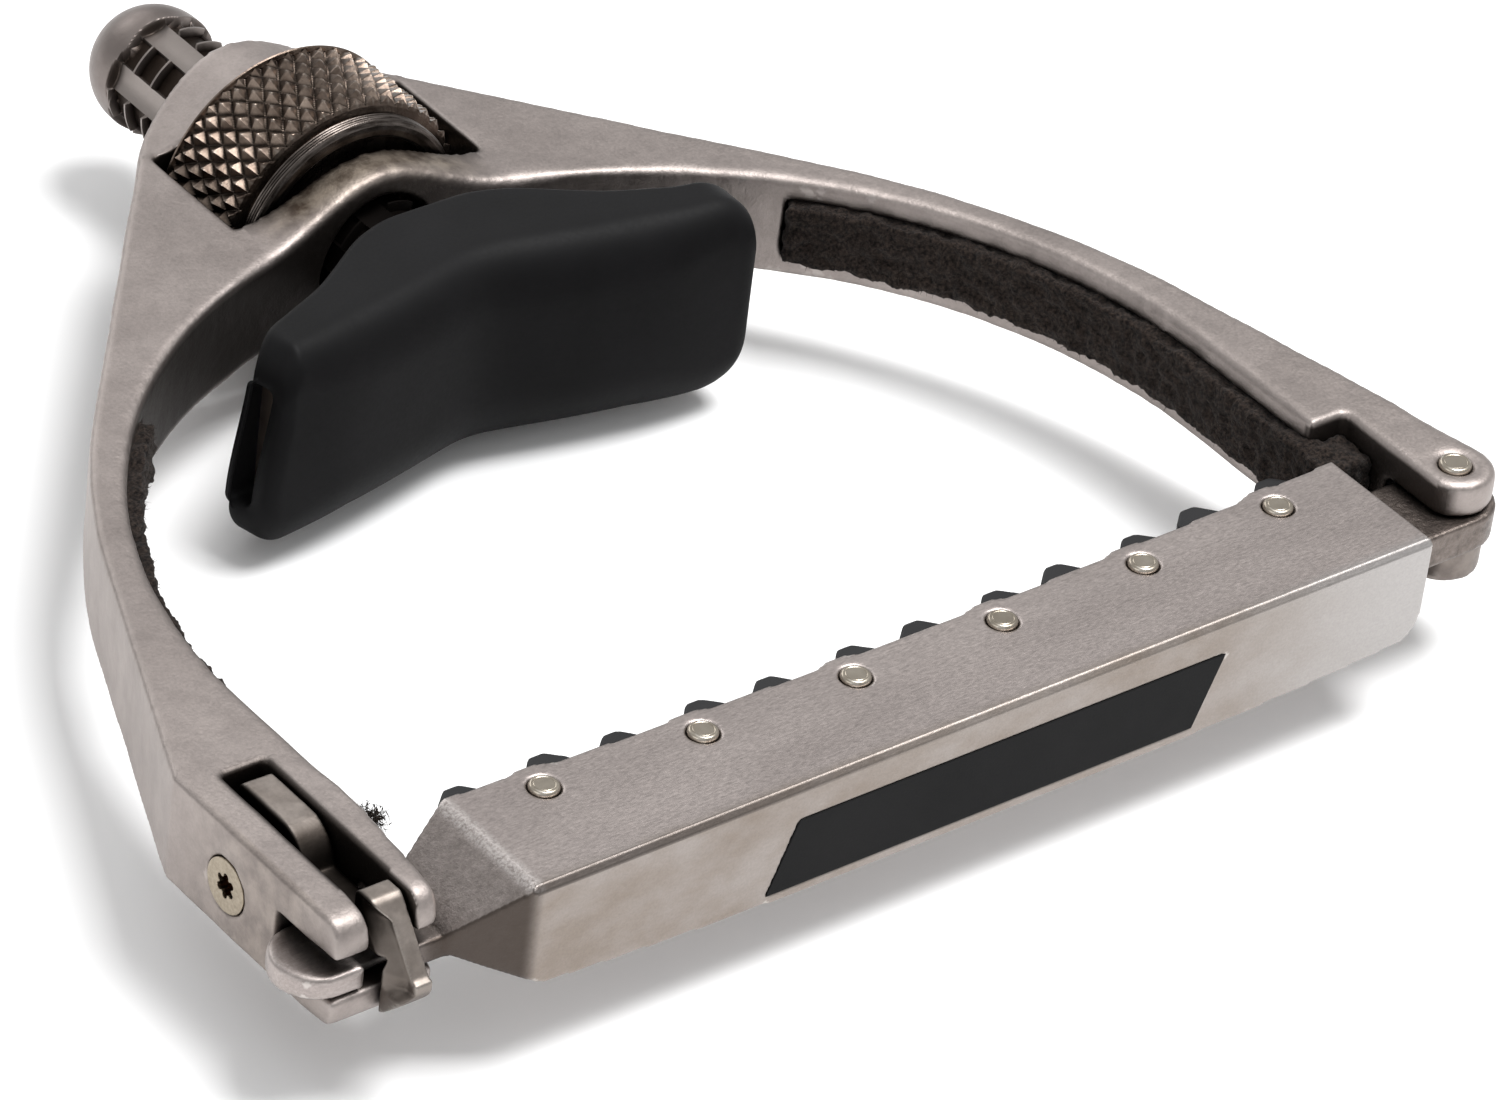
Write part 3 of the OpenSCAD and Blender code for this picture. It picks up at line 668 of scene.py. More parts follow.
camera_data = bpy.data.cameras.new("camera")
camera = bpy.data.objects.new("camera", camera_data)
bpy.context.scene.collection.objects.link(camera)
camera_data.sensor_width = 36
camera_data.lens = 200.89
camera_data.clip_start = 0.01
camera.matrix_world = look(
    Vector(to_frame((-201.88, -206.885, 214.84))),
    Vector(to_frame((0.99, 17.285, 0.0))),
    -7.444,
)
bpy.context.scene.camera = camera

scene = bpy.context.scene
scene.view_settings.view_transform = "Standard"

floor_mesh = bpy.data.meshes.new("floor")
half = 3.0
floor_z = cad_box[0][2] - 0.00005
floor_mesh.from_pydata(
    [(-half, -half, floor_z), (half, -half, floor_z), (half, half, floor_z), (-half, half, floor_z)],
    [],
    [(0, 1, 2, 3)],
)
floor = bpy.data.objects.new("floor", floor_mesh)
scene.collection.objects.link(floor)
floor_mat, nt, bsdf = node_tree("floor_paper")
paper = noise_tex(nt, (0.02, 0.02, 0.02), 2.0)
nt.links.new(ramp(nt, paper, [(0.0, 0.93), (1.0, 0.97)]), bsdf.inputs["Base Color"])
bsdf.inputs["Roughness"].default_value = 0.9
bsdf.inputs["Specular IOR Level"].default_value = 0.1
floor_mesh.materials.append(floor_mat)

world = bpy.data.worlds.new("studio")
scene.world = world
world.use_nodes = True
background = world.node_tree.nodes["Background"]
background.inputs["Color"].default_value = (0.99, 0.995, 1.0, 1)
background.inputs["Strength"].default_value = 0.62


def area_light(name, location, target, size, power, size_y=None):
    data = bpy.data.lights.new(name, "AREA")
    data.energy = power
    data.size = size
    if size_y:
        data.shape = "RECTANGLE"
        data.size_y = size_y
    obj = bpy.data.objects.new(name, data)
    scene.collection.objects.link(obj)
    obj.matrix_world = look(Vector(location), Vector(target), 0)
    return obj


# The key light stands nearly overhead, a little towards the hinge
area_light("key", (0.19, -0.10, 0.66), (0, 0, 0), 0.32, 5.4)
area_light("back", (0.05, 0.62, 0.34), (0, 0.02, 0), 0.50, 0.9, 0.22)
area_light("left", (-0.62, -0.05, 0.22), (0, 0, 0), 0.40, 0.5, 0.25)

# ---------------------------------------------------------------- yoke

WINDOW_HALF = 7.0
WINDOW_Y = (46.1, 52.8)
SLOT_X = (-31.0, -28.7)
SLOT_END_Y = 12.8
# The middle of the arms' inner arc, and its radius
ARC_Y, ARC_R = 17.1, 27.0


def from_arc(x, y):
    """Distance from the middle of the arc, or from the plane the straight parts run along."""
    return np.hypot(x, np.maximum(y - ARC_Y, 0))


def window_or_slot(co, margin):
    """True at points on or next to the walls of the nut's window and the latch's slot."""
    x, y, _ = co.T
    window = (np.abs(x) < WINDOW_HALF + margin) & (y > WINDOW_Y[0] - margin) & (y < WINDOW_Y[1] + margin)
    slot = (x > SLOT_X[0] - margin) & (x < SLOT_X[1] + margin) & (y < SLOT_END_Y + margin)
    return window, slot


def crisp_free(co):
    """All but the edges of the window and the slot, which stay crisp."""
    window, slot = window_or_slot(co, 0.45)
    return np.where(window | slot, 0.0, 1.0)


def arch_edge(co):
    """The worn front edge of the web under the nut."""
    x, y, _ = co.T
    return np.clip((9.5 - np.abs(x)) / 2.5, 0, 1) * np.clip((45.75 - y) / 0.5, 0, 1) * (y > 40)


def ears(co):
    """The upper hinge ear."""
    x, y, z = co.T
    return np.clip((x - 28.6) / 1.0, 0, 1) * np.clip((9.0 - y) / 1.5, 0, 1) * (z > 0.95)


def prong_end(co):
    """The ends of the latch arm's two prongs."""
    x, y, _ = co.T
    return np.clip((3.7 - y) / 1.2, 0, 1) * (x < -26)


def inner_edge(co):
    """The worn upper and lower edges along the inside of the arms."""
    x, y, z = co.T
    d = from_arc(x, y) - ARC_R
    near = np.exp(-(((d - 0.15) / 0.55) ** 2)) * (np.abs(z) > 1.75) * np.clip((y - 9.8) / 1.5, 0, 1)
    return near * np.clip((43.0 - y) / 3.0, 0, 1) * (x > -28.4)


def shade_grime_and_stain(co, no):
    """Painted shade in the window, the slot, the bore, by the saddle, on the ear's step and over the rims'
    highlights, some darkening by the window and under the lower ear; stains beside them.
    """
    x, y, z = co.T
    top = np.where(np.abs(x) < 7, 2.7 + 0.975 * (1 + np.cos(np.pi * np.clip(x / 7, -1, 1))), 2.7)
    # Painted shade inside the nut's window, the latch's slot and the screw's bore, and on the inner wall by
    # the saddle
    window, slot = window_or_slot(co, 0.12)
    window &= np.abs(z) < top - 0.06
    slot &= (z < 2.62) & (z > -2.2) & (y > 2.0)
    inside = (from_arc(x, y) < ARC_R + 0.25) & (np.abs(z) < 4.6)
    angle = np.degrees(np.arctan2(np.maximum(y - ARC_Y, 0), x))
    wall = inside * np.clip((angle - 66) / 30, 0, 1) * np.clip((top - 0.25 - np.abs(z)) / 0.3, 0, 1)
    bore = (np.hypot(x, z) < 3.4) & (y > 43)
    shade_and_grime = np.maximum(0.93 * (window | slot | bore), 0.80 * wall)
    # Painted shade on the front-facing wall of the hinge ear's step
    ear_wall = (x > 26.9) * np.clip((29.7 - x) / 0.4, 0, 1) * (y < 9.85) * (np.abs(z) < 2.45)
    # Painted shade over the window's and slot's rounded rims, damping their highlights
    near_window, near_slot = window_or_slot(co, 0.32)
    lean_x, lean_y = np.abs(no[:, 0]), np.abs(no[:, 1])
    window_rim = near_window * np.clip(np.maximum(lean_y / 0.3, lean_x / 0.3 - 1.4), 0, 1)
    slot_rim = near_slot * np.clip(np.maximum(lean_y, lean_x) / 0.3, 0, 1) * (y > 4) * (z > 2)
    rim = np.maximum(window_rim, slot_rim)
    # The lower ear and the web beside the window are darkened as well
    low_ear = np.clip((x - 28.5) / 1.0, 0, 1) * np.clip((7.0 - y) / 1.5, 0, 1) * (z < -0.9)
    by_window = (np.abs(x) < 6.6) * np.clip((y - 45.1) / 0.8, 0, 1) * (y < 46.4) * (z > 0)
    shade_and_grime = np.maximum.reduce([shade_and_grime, 0.78 * ear_wall, 0.80 * rim, 0.30 * low_ear, 0.55 * by_window])
    by_nut = np.clip((6.6 - np.abs(x)) / 2.5, 0, 1) * np.clip((y - 43.6) / 1.4, 0, 1) * (y < 46.4)
    by_pivot = (x < -32.5) * np.clip((13 - y) / 5, 0, 1) * np.clip((y - 2) / 3, 0, 1)
    return shade_and_grime, np.maximum.reduce([0.95 * by_nut, 0.30 * by_pivot, 0.30 * low_ear])


def make_yoke():
    zones = ((crisp_free, 6), (arch_edge, 60), (ears, 22), (prong_end, 22), (inner_edge, 26))
    obj = softened(["yoke"], "yoke_casting", CAST, 0.16, 1, zones)
    shade_and_grime, stain = shade_grime_and_stain(*vertices_of(obj))
    float_attribute(obj, "shade_and_grime", shade_and_grime)
    float_attribute(obj, "stain", stain)
    rough_up(obj, 0.035, 0.40, 3.1)
    rough_up(obj, 0.005, 1.9, 8.4)
    place(obj)
    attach(obj, "frame")
    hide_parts("yoke")


# ---------------------------------------------------------------- string bar


def tongue_end(co):
    """The round end of the bar's tongue."""
    return np.clip((-30.8 - co[:, 0]) / 0.8, 0, 1)


def low_corner(co):
    """The bar's lower left corner."""
    x, _, z = co.T
    return np.clip((-22.9 - x) / 0.8, 0, 1) * np.clip((-1.6 - z) / 0.7, 0, 1) * (x > -26)


def make_inlay():
    """Enamel panel flush in the bar's front: a slanted four-sided slab with softened edges."""
    low, high = box_mm("bar_inlay")
    slant = 1.35
    y_back = high[1]
    outline = [
        (low[0] - 0.06, low[2] - 0.06),
        (high[0] - slant + 0.06, low[2] - 0.06),
        (high[0] + 0.10, high[2] + 0.06),
        (low[0] + slant - 0.02, high[2] + 0.06),
    ]
    # The same outline at each depth, pulled in by an inset
    rows = [(y_back, 0.0), (0.03, 0.0), (0.004, 0.02), (-0.008, 0.06)]
    points = []
    cx = sum(p[0] for p in outline) / 4
    cz = sum(p[1] for p in outline) / 4
    side = 24
    for y, inset in rows:
        for i in range(4):
            (x0, z0), (x1, z1) = outline[i], outline[(i + 1) % 4]
            for k in range(side):
                x = x0 + (x1 - x0) * k / side
                z = z0 + (z1 - z0) * k / side
                x -= inset * max(-1.0, min(1.0, (x - cx) / 11.0))
                z -= inset * max(-1.0, min(1.0, (z - cz) / 1.6))
                points.append((x, y, z))
    around = 4 * side
    faces = grid_faces(len(rows), around, True)
    faces.append(tuple(range(around)))
    faces.append(tuple(reversed(range(len(points) - around, len(points)))))
    inlay = new_object("inlay_panel", points, faces, ENAMEL, smooth=False)
    with_mesh(inlay, face_outwards)
    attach(inlay, "bar")
    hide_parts("bar_inlay")


def fill_chamfer(obj):
    """Moves the front upper chamfer out until it is CHAMFER wide on each face."""
    co, _ = vertices_of(obj)
    x, y, z = co.T
    on_it = (z - y > 1.97) & (x > -24.3) & (x < 26.4)
    shift = np.clip((BAR_TOP_Z - CHAMFER - (z - y)) / 2, 0, 0.2)
    co[:, 1] = np.where(on_it, np.maximum(y - shift, np.minimum(y, 0)), y)
    co[:, 2] = np.where(on_it, np.minimum(z + shift, np.maximum(z, BAR_TOP_Z)), z)
    set_vertices(obj, co)


def make_bar():
    zones = ((tongue_end, 16), (low_corner, 14))
    obj = softened(["string_bar"], "bar_steel_body", BAR, 0.125, 5, zones)
    fill_chamfer(obj)
    place(obj)
    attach(obj, "bar")
    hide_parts("string_bar")


def make_string_pads():
    for i in range(1, 7):
        obj = softened([f"string_pad_{i}"], f"string_pad_{i}_rubber", PAD_RUBBER, 0.1, 3)
        place(obj)
        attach(obj, "bar")
        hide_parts(f"string_pad_{i}")


def make_pins():
    for i in range(1, 7):
        low, high = box_mm(f"pad_pin_{i}")
        c = (low + high) / 2
        head = pin_head(f"pad_pin_{i}_head", c[0], c[1], high[2] - 0.17, 0.70, 0.17, NICKEL, i)
        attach(head, "bar")
        paint(f"pad_pin_{i}", NICKEL)
    low, high = box_mm("hinge_pin")
    c = (low + high) / 2
    head = pin_head("hinge_pin_head", c[0], c[1], high[2] - 0.15, 0.76, 0.16, NICKEL, 11)
    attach(head, "frame")


# ---------------------------------------------------------------- latch


def narrow_finger(obj):
    """Narrows the finger's slanted front from its left side, down to the lip. The foot below and
    the sides, which are 'shaded', are darker."""
    co, no = vertices_of(obj)
    x, y, z = co.T
    face_y = np.interp(z, [-0.3, 2.45], [0.42, 2.6])
    depth = np.clip(1.25 - (y - face_y) / 0.9, 0, 1)
    down = np.clip((2.45 - z) / 0.7, 0, 1) * np.clip((z + 1.15) / 0.3, 0, 1)
    left = np.clip((-28.95 - x) / 1.3, 0, 1)
    facing_front = -0.783 * no[:, 1] + 0.621 * no[:, 2]
    shaded = np.clip((0.80 - facing_front) / 0.35, 0, 1) * (y < 3.4) * (z < 2.3)
    float_attribute(obj, "shaded", shaded)
    co[:, 0] += 0.66 * depth * down * left
    set_vertices(obj, co)


def make_latch():
    lever = softened(["latch_lever"], "latch_lever_forged", LATCH, 0.08, 9)
    narrow_finger(lever)
    rough_up(lever, 0.015, 1.5, 5.0)
    place(lever)
    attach(lever, "latch")
    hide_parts("latch_lever")
    screw = softened(["latch_pivot_screw"], "latch_pivot_screw_star", STAR, 0.035, 4)
    place(screw)
    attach(screw, "frame")
    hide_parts("latch_pivot_screw")


# ---------------------------------------------------------------- nut and screw

NUT_R = 6.8
KNURL_AROUND = 44
KNURL_LONG = 1.46
KNURL_DEEP = 0.42


def make_nut():
    """Diamond knurl with a plain rim behind it, and a turned collar with a recess in front."""
    low, high = box_mm("thumb_nut")
    y_front, y_back = low[1], high[1]
    collar_y = y_front + 0.85
    cols = KNURL_AROUND * 12
    knurl_y0, knurl_y1 = collar_y + 0.1, y_back - 0.22
    bore = 3.25
    # Radius, y, knurled, turned
    profile = [
        (bore, y_back - 0.25, 0, 0),
        (bore, (y_front + y_back) / 2, 0, 0),
        (bore, y_front + 0.6, 0, 0),
        (bore + 0.2, y_front + 0.45, 0, 0),
        (5.0, y_front + 0.45, 0, 0),
        (5.1, y_front + 0.10, 0, 1),
        (5.22, y_front + 0.02, 0, 1),
        (5.50, y_front, 0, 1),
        (5.72, y_front + 0.03, 0, 1),
        (5.90, y_front + 0.12, 0, 1),
    ]
    for i in range(4):
        y = y_front + 0.18 + 0.15 * i
        profile += [(5.97, y, 0, 1), (6.0, y + 0.05, 0, 1), (5.89, y + 0.10, 0, 1)]
    profile += [(5.85, collar_y - 0.04, 0, 0), (6.3, collar_y + 0.04, 0, 0)]
    steps = 84
    for i in range(steps + 1):
        y = knurl_y0 + (knurl_y1 - knurl_y0) * i / steps
        front = max(0.0, 1 - (y - knurl_y0) / 0.3)
        profile.append((NUT_R - 0.30 * front**1.4, y, 1, 0))
    profile += [
        (6.50, y_back - 0.18, 0, 0),
        (6.66, y_back - 0.13, 0, 0),
        (6.70, y_back - 0.07, 0, 0),
        (6.62, y_back, 0, 0),
        (5.0, y_back - 0.03, 0, 0),
        (bore + 0.25, y_back, 0, 0),
    ]
    points, masks = [], {"peak": [], "root": [], "collar": []}
    for r, y, knurled, turned in profile:
        for j in range(cols):
            a = 2 * math.pi * j / cols
            rr, p, q = r, 0.0, 0.0
            if knurled:
                u = j / cols * KNURL_AROUND
                v = (y - knurl_y0) / KNURL_LONG
                s = 1 - abs(2 * ((u + v) % 1) - 1)
                t = 1 - abs(2 * ((u - v) % 1) - 1)
                h = min(1.0, 1.10 * min(s, t))
                worn = noise.noise(Vector((math.cos(a) * 6, y * 1.3, math.sin(a) * 6)))
                h -= 0.12 * h * (worn + 0.4)
                rr = min(r, NUT_R - KNURL_DEEP * (1 - h))
                # p marks the worn knurl points, lightened partly as a painted highlight; q marks the grooves
                # for painted shade
                p = max(0.0, (h - 0.82) / 0.18) * (0.55 + 0.45 * worn)
                q = max(0.0, 1 - h / 0.30)
            points.append((rr * math.cos(a), y, rr * math.sin(a)))
            masks["peak"].append(max(0.0, p))
            masks["root"].append(q)
            masks["collar"].append(turned)
    faces = grid_faces(len(profile), cols, True)
    last = (len(profile) - 1) * cols
    faces += [(last + j, last + (j + 1) % cols, (j + 1) % cols, j) for j in range(cols)]
    obj = new_object("thumb_nut_knurled", points, faces, NUT, smooth=False)
    for name, values in masks.items():
        float_attribute(obj, name, values)
    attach(obj, "nut")
    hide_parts("thumb_nut")


SCREW_R = 3.11
THREAD_CORE_R = 2.62
FLUTE_FLOOR_R = 2.60
FLUTE_AT = 43.2
THREAD_PITCH = 1.4
FLUTE_HALF_DEG = 14.5
DOME_Y = 62.4
THREAD_END = 61.95
# A point on one thread crest, and the flute underneath that hides the rows' jump of one pitch
CREST_Y, CREST_DEG = 60.6, 133.0
HIDDEN_DEG = FLUTE_AT + 240
BARE_HALF_DEG = 14.0


def thread_lean(deg, y):
    """How far a row is moved along Y at an angle, so that rows run along the thread's crests."""
    past = (deg - HIDDEN_DEG) % 360
    before, after = CREST_DEG + 360 - HIDDEN_DEG, HIDDEN_DEG - CREST_DEG
    rel = past - before
    if past > 350 or past < 10:
        t = ((past + 10) % 360) / 20
        rel = (after - 10) * (1 - t) + (10 - before) * t
    weight = min(1.0, (DOME_Y - y) / 1.2, max(0.0, (y - 38.6) / 1.5))
    return -THREAD_PITCH * rel / 360 * weight


def screw_rows(y0):
    """Y of each row: gathered round the crests, evenly spaced near the domed end."""
    rows = list(np.arange(y0, 39.8, 0.3))
    crest = CREST_Y - THREAD_PITCH * math.floor((CREST_Y - 40.0) / THREAD_PITCH)
    while crest < 61.0:
        rows += [crest + THREAD_PITCH * t for t in (-0.075, -0.04, 0, 0.04, 0.075, 0.2, 0.35, 0.5, 0.65, 0.8)]
        crest += THREAD_PITCH
    start = rows[-1]
    steps = math.ceil((DOME_Y - start) / 0.05)
    return rows + [start + (DOME_Y - start) * i / steps for i in range(1, steps)]


def make_screw():
    """Thread in six bands with flutes between them, one band part bare, and a domed end."""
    low, _ = box_mm("clamp_screw")
    cols = 480
    rows = [(SCREW_R, y) for y in screw_rows(low[1])]
    threaded = len(rows)
    for i in range(24):
        t = math.radians(90 * i / 24)
        rows.append((SCREW_R * math.cos(t), DOME_Y + SCREW_R * math.sin(t)))
    points, recess, flute = [], [], []
    for i, (r, row_y) in enumerate(rows):
        for j in range(cols):
            deg = 360 * j / cols
            y = row_y + thread_lean(deg, row_y) if i < threaded else row_y
            rr, pocket, plain = r, 0.0, 0.0
            if 40.0 < y < THREAD_END + 0.3:
                to_flute = (deg - FLUTE_AT + 30) % 60 - 30
                inside = smoothstep(FLUTE_HALF_DEG + 0.5, FLUTE_HALF_DEG - 0.5, abs(to_flute))
                end = THREAD_END - 0.25 * (to_flute / 30) ** 2
                fade = smoothstep(40.0, 40.5, y) * smoothstep(end + 0.12, end - 0.12, y)
                floor_r = FLUTE_FLOOR_R + 0.22 * (to_flute / FLUTE_HALF_DEG) ** 2
                turn = ((y - CREST_Y) / THREAD_PITCH + (deg - CREST_DEG) / 360) % 1
                tooth = 1 - smoothstep(0.042, 0.074, min(turn, 1 - turn))
                # The band on the screw's +X side has no crests along this strip
                tooth *= smoothstep(BARE_HALF_DEG, BARE_HALF_DEG + 1.5, min(deg, 360 - deg))
                thread_r = THREAD_CORE_R + (SCREW_R - 0.02 - THREAD_CORE_R) * tooth
                carved = thread_r * (1 - inside) + floor_r * inside
                rr = r + (min(carved, r) - r) * fade
                # Painted shade between the thread's crests
                pocket = (1 - inside) * min(1.0, 1.3 * (1 - tooth)) * fade
                # Painted shadow in the corner at each flute's end
                corner = inside * smoothstep(end - 0.42, end - 0.12, y) * smoothstep(end + 0.14, end, y)
                pocket = max(pocket, 0.9 * corner)
                plain = max(inside, (1 - inside) * tooth) * fade
            points.append((rr * math.cos(math.radians(deg)), y, rr * math.sin(math.radians(deg))))
            recess.append(pocket)
            flute.append(plain)
    faces = grid_faces(len(rows), cols, True)
    tip = len(points)
    points += [(0, DOME_Y + SCREW_R, 0), (0, low[1], 0)]
    recess += [0.0, 0.0]
    flute += [0.0, 0.0]
    last = (len(rows) - 1) * cols
    for j in range(cols):
        k = (j + 1) % cols
        faces.append((last + j, last + k, tip))
        faces.append((k, j, tip + 1))
    obj = new_object("clamp_screw_threaded", points, faces, SCREW, smooth=False)
    first_dome = (threaded - 1) * cols
    obj.data.polygons.foreach_set("use_smooth", [i >= first_dome for i in range(len(faces))])
    float_attribute(obj, "recess", recess)
    float_attribute(obj, "flute", flute)
    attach(obj, "clamp")
    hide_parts("clamp_screw")


# ---------------------------------------------------------------- saddle


def saddle_lines(x):
    """The sleeve's front and back in plan at distances x from its middle."""
    x = np.abs(x)
    front = 33.9 + 2.0 * np.clip(1 - x / 9.5, 0, None) ** 1.25
    back = np.interp(x, [0, 2.4, 4.4, 6.2, 8.0, 10.6, 14.1], [41.3, 41.3, 40.6, 39.4, 38.25, 37.2, 35.7])
    return front, back


def smoothed_saddle(x):
    """saddle_lines averaged over a millimetre or so, so that the front's bend and the back are soft."""
    offsets = np.linspace(-2.5, 2.5, 41)
    weights = np.exp(-0.5 * offsets**2)
    front = sum(w * saddle_lines(x + 1.1 * o)[0] for w, o in zip(weights, offsets)) / weights.sum()
    back = sum(w * saddle_lines(x + 0.6 * o)[1] for w, o in zip(weights, offsets)) / weights.sum()
    return front, back


def saddle_ring(x, y0, y1, half, r_front, r_back, tall=1.5):
    """Points of a rounded slot shape in Y and Z; tall stretches the front corners along Z."""
    ring = []
    corners = (
        (y1 - r_back, half - r_back, r_back, 0, 1),
        (y0 + r_front, half - r_front * tall, r_front, 90, tall),
        (y0 + r_front, -half + r_front * tall, r_front, 180, tall),
        (y1 - r_back, -half + r_back, r_back, 270, 1),
    )
    for cy, cz, r, start, stretch in corners:
        for i in range(13):
            a = math.radians(start + 90 * i / 12)
            ring.append((x, cy + r * math.cos(a), cz + r * stretch * math.sin(a)))
    # Evenly spaced extra points up the front and down the back
    dense = []
    for i, p in enumerate(ring):
        q = ring[(i + 1) % len(ring)]
        n = 12 if i in (25, 51) else 4 if i in (12, 38) else 1
        dense += [tuple(p[k] + (q[k] - p[k]) * m / n for k in range(3)) for m in range(n)]
    return dense


def make_saddle():
    """Moulded sleeve: soft edges all round, and at each end the open mouth the plate went in by.
    The front lip stops short of the back lip, so the plate's end shows between them."""
    low, high = box_mm("pad_sleeve")
    tip, half, mid_z = high[0], (high[2] - low[2]) / 2, (high[2] + low[2]) / 2
    plate_y0, plate_y1 = 34.75, 35.95
    rounding = 2.2
    stations = list(np.linspace(0, tip - rounding, 84))
    stations += [tip - rounding + rounding * math.sin(math.radians(a)) for a in range(5, 91, 5)]
    rings = []

    def bent(ring):
        """On the left the front lip and the top are pulled in."""
        out = []
        for x, y, z in ring:
            near = smoothstep(3.0 - tip, -tip, x)
            pull = 0.75 * min(1.0, max(0.0, (36.3 - y) / 2.6)) + 0.8 * smoothstep(-3.0, 4.2, z)
            out.append((x + near * min(pull, 1.3), y, z + mid_z))
        return out

    def outer(x, side):
        front, back = smoothed_saddle(np.array([x]))
        y0, y1 = float(front[0]) - 0.2, float(back[0])
        d = max(0.0, x - (tip - rounding)) / rounding
        shrink = 1 - math.sqrt(max(0.0, 1 - d * d))
        thin = 1 - math.sqrt(max(0.0, 1 - max(0.0, (x - (tip - 0.9)) / 0.9) ** 2))
        y0 += 0.40 * thin
        y1 += (0.55 if side > 0 else 0.15) * smoothstep(tip - 3.5, tip - 0.5, x) - 0.20 * thin
        r_front = min(2.0, 0.46 * (y1 - y0))
        r_back = min(0.45, 0.4 * (y1 - y0))
        return bent(saddle_ring(side * x, y0, y1, half - rounding * shrink * 0.85, r_front, r_back))

    def mouth(x, side, grow):
        y0, y1 = plate_y0 - 0.04 - 0.4 * grow, plate_y1 + 0.04 + 0.4 * grow
        return bent(saddle_ring(side * x, y0, y1, 3.0 + grow, 0.4, 0.4))

    for side in (-1, 1):
        steps = ((11.0, 0), (tip - 0.5, 0), (tip - 0.15, 0.05), (tip - 0.03, 0.2))
        ends = [mouth(x, side, grow) for x, grow in steps]
        body = [outer(x, side) for x in reversed(stations)]
        if side < 0:
            rings += ends + body
        else:
            rings += body[-2::-1] + ends[::-1]
    around = len(rings[0])
    points = [p for ring in rings for p in ring]
    faces = grid_faces(len(rings), around, True)
    faces.append(tuple(reversed(range(around))))
    faces.append(tuple(range(len(points) - around, len(points))))
    sleeve = new_object("saddle_sleeve", points, faces, SLEEVE)
    with_mesh(sleeve, face_outwards)
    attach(sleeve, "clamp")
    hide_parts("pad_sleeve")


# ---------------------------------------------------------------- felt


def fibre(points, faces, root, direction, length, width, bend, sides=3, steps=3):
    """Adds one closed, tapering, curved hair to points and faces."""
    direction = direction.normalized()
    across = direction.orthogonal().normalized()
    other = direction.cross(across)
    first = len(points)
    for i in range(steps + 1):
        t = i / steps
        centre = root + direction * (length * t) + bend * (length * t * t)
        w = width * (1 - 0.75 * t)
        for k in range(sides):
            a = 2 * math.pi * k / sides
            points.append(tuple(centre + across * (w * math.cos(a)) + other * (w * math.sin(a))))
    for i in range(steps):
        for k in range(sides):
            n = (k + 1) % sides
            faces.append(
                (
                    first + i * sides + k,
                    first + i * sides + n,
                    first + (i + 1) * sides + n,
                    first + (i + 1) * sides + k,
                )
            )
    faces.append(tuple(first + k for k in reversed(range(sides))))
    faces.append(tuple(first + steps * sides + k for k in range(sides)))


FELT_HAIRS = 2600
TUFT_HAIRS = 620


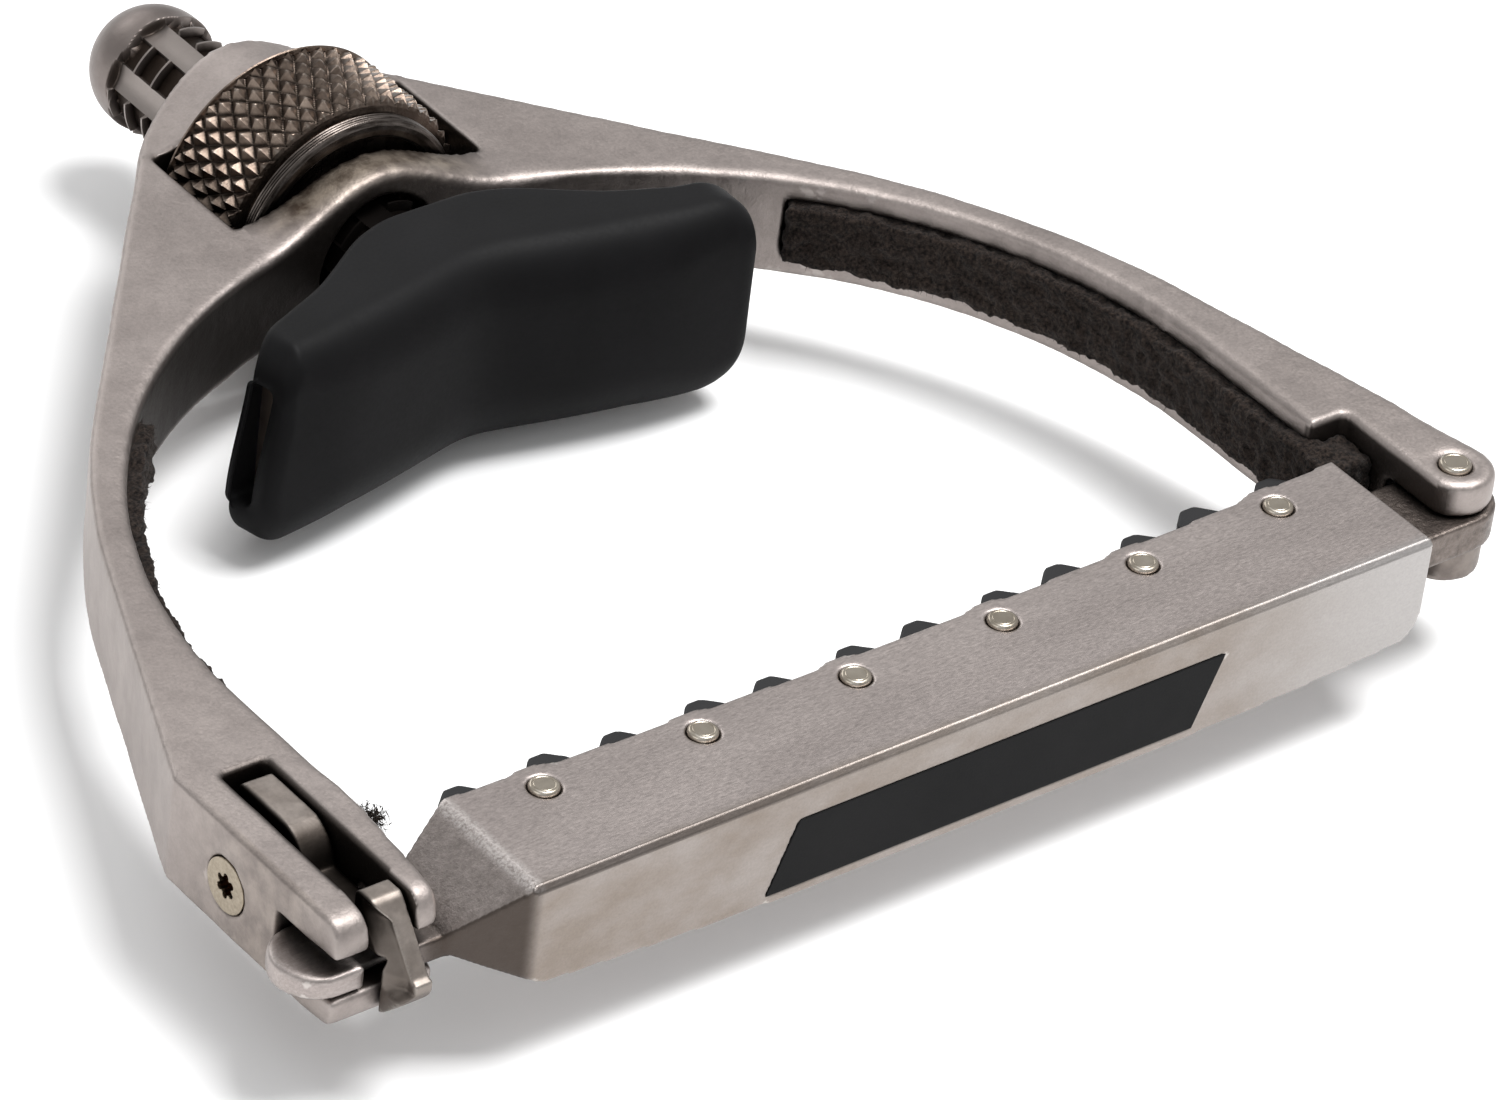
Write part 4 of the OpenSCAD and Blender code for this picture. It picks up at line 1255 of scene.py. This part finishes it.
def make_felt(side):
    """A felt strip with a rough surface and short hairs on its open sides."""
    node = "felt_left" if side < 0 else "felt_right"
    obj = softened([node], node + "_strip", FELT, 0.15, 4)
    rough_up(obj, 0.22, 1.6, 20.0 + side)
    rough_up(obj, 0.10, 4.5, 30.0 + side)
    co, no = vertices_of(obj)
    rng = random.Random(40 + side)
    points, faces = [], []
    picked = 0
    while picked < FELT_HAIRS:
        i = rng.randrange(len(co))
        p, n = co[i], no[i]
        outward = Vector((p[0], p[1] - ARC_Y if p[1] > ARC_Y else 0, 0)).normalized()
        if Vector(n).dot(outward) > 0.2:
            continue
        picked += 1
        lean = Vector((rng.gauss(0, 0.9), rng.gauss(0, 0.9), rng.gauss(0, 0.6)))
        fibre(
            points,
            faces,
            Vector(p) - Vector(n) * 0.05,
            Vector(n) + lean * 0.9,
            rng.uniform(0.07, 0.20),
            rng.uniform(0.012, 0.022),
            Vector((rng.gauss(0, 0.5), rng.gauss(0, 0.5), rng.gauss(0, 0.5))),
        )
    place(obj)
    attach(obj, "frame")
    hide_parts(node)
    fuzz = new_object(node + "_fuzz", points, faces, FUZZ)
    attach(fuzz, "frame")


def make_tuft():
    """The frayed end of the left felt strip, curled off the arm by the latch."""
    rng = random.Random(7)
    points, faces = [], []
    wall = Vector((-26.5, 9.4, 0.9))
    heart = Vector((-25.85, 8.9, 0.9))
    for _ in range(TUFT_HAIRS):
        t = rng.random()
        centre = wall.lerp(heart, min(1.0, 1.25 * t))
        size = 0.20 + 0.12 * t
        root = centre + Vector((rng.gauss(0, size), rng.gauss(0, size), rng.gauss(0, size)))
        aim = Vector((rng.gauss(0.25, 1), rng.gauss(-0.25, 1), rng.gauss(0, 1))).normalized()
        turn = aim.cross(Vector((rng.gauss(0, 1), rng.gauss(0, 1), rng.gauss(0, 1)))).normalized()
        length = rng.uniform(0.25, 0.62)
        fibre(points, faces, root, aim, length, rng.uniform(0.018, 0.034), turn * 1.1 - aim * 0.8, 4, 7)
    obj = new_object("felt_left_tuft", points, faces, FUZZ)
    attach(obj, "frame")


PLATE_HALF = 12.5


def make_plate():
    """The saddle plate, its ends a little inside the sleeve's mouths."""
    obj = cad_copy(["pad_plate"], "saddle_plate_steel", PLATE)
    co, _ = vertices_of(obj)
    co[:, 0] = np.clip(co[:, 0], -PLATE_HALF, PLATE_HALF)
    set_vertices(obj, co)
    place(obj)
    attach(obj, "clamp")
    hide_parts("pad_plate")


def make_spring():
    """The latch's return spring, which the lever's thumb lobe presses down; here it keeps its CAD shape."""
    obj = cad_copy(["latch_spring"], "latch_spring_coil", SPRING)
    obj.data.polygons.foreach_set("use_smooth", [True] * len(obj.data.polygons))
    place(obj)
    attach(obj, "frame")
    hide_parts("latch_spring")
    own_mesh(obj)


make_yoke()
make_bar()
make_inlay()
make_string_pads()
make_pins()
make_latch()
make_spring()
make_nut()
make_screw()
make_saddle()
make_plate()
make_felt(1)
make_felt(-1)
make_tuft()
paint("hinge_pin", NICKEL)
paint("pad_rivet", NICKEL)


def plain(box):
    return [[float(c) for c in corner] for corner in box]
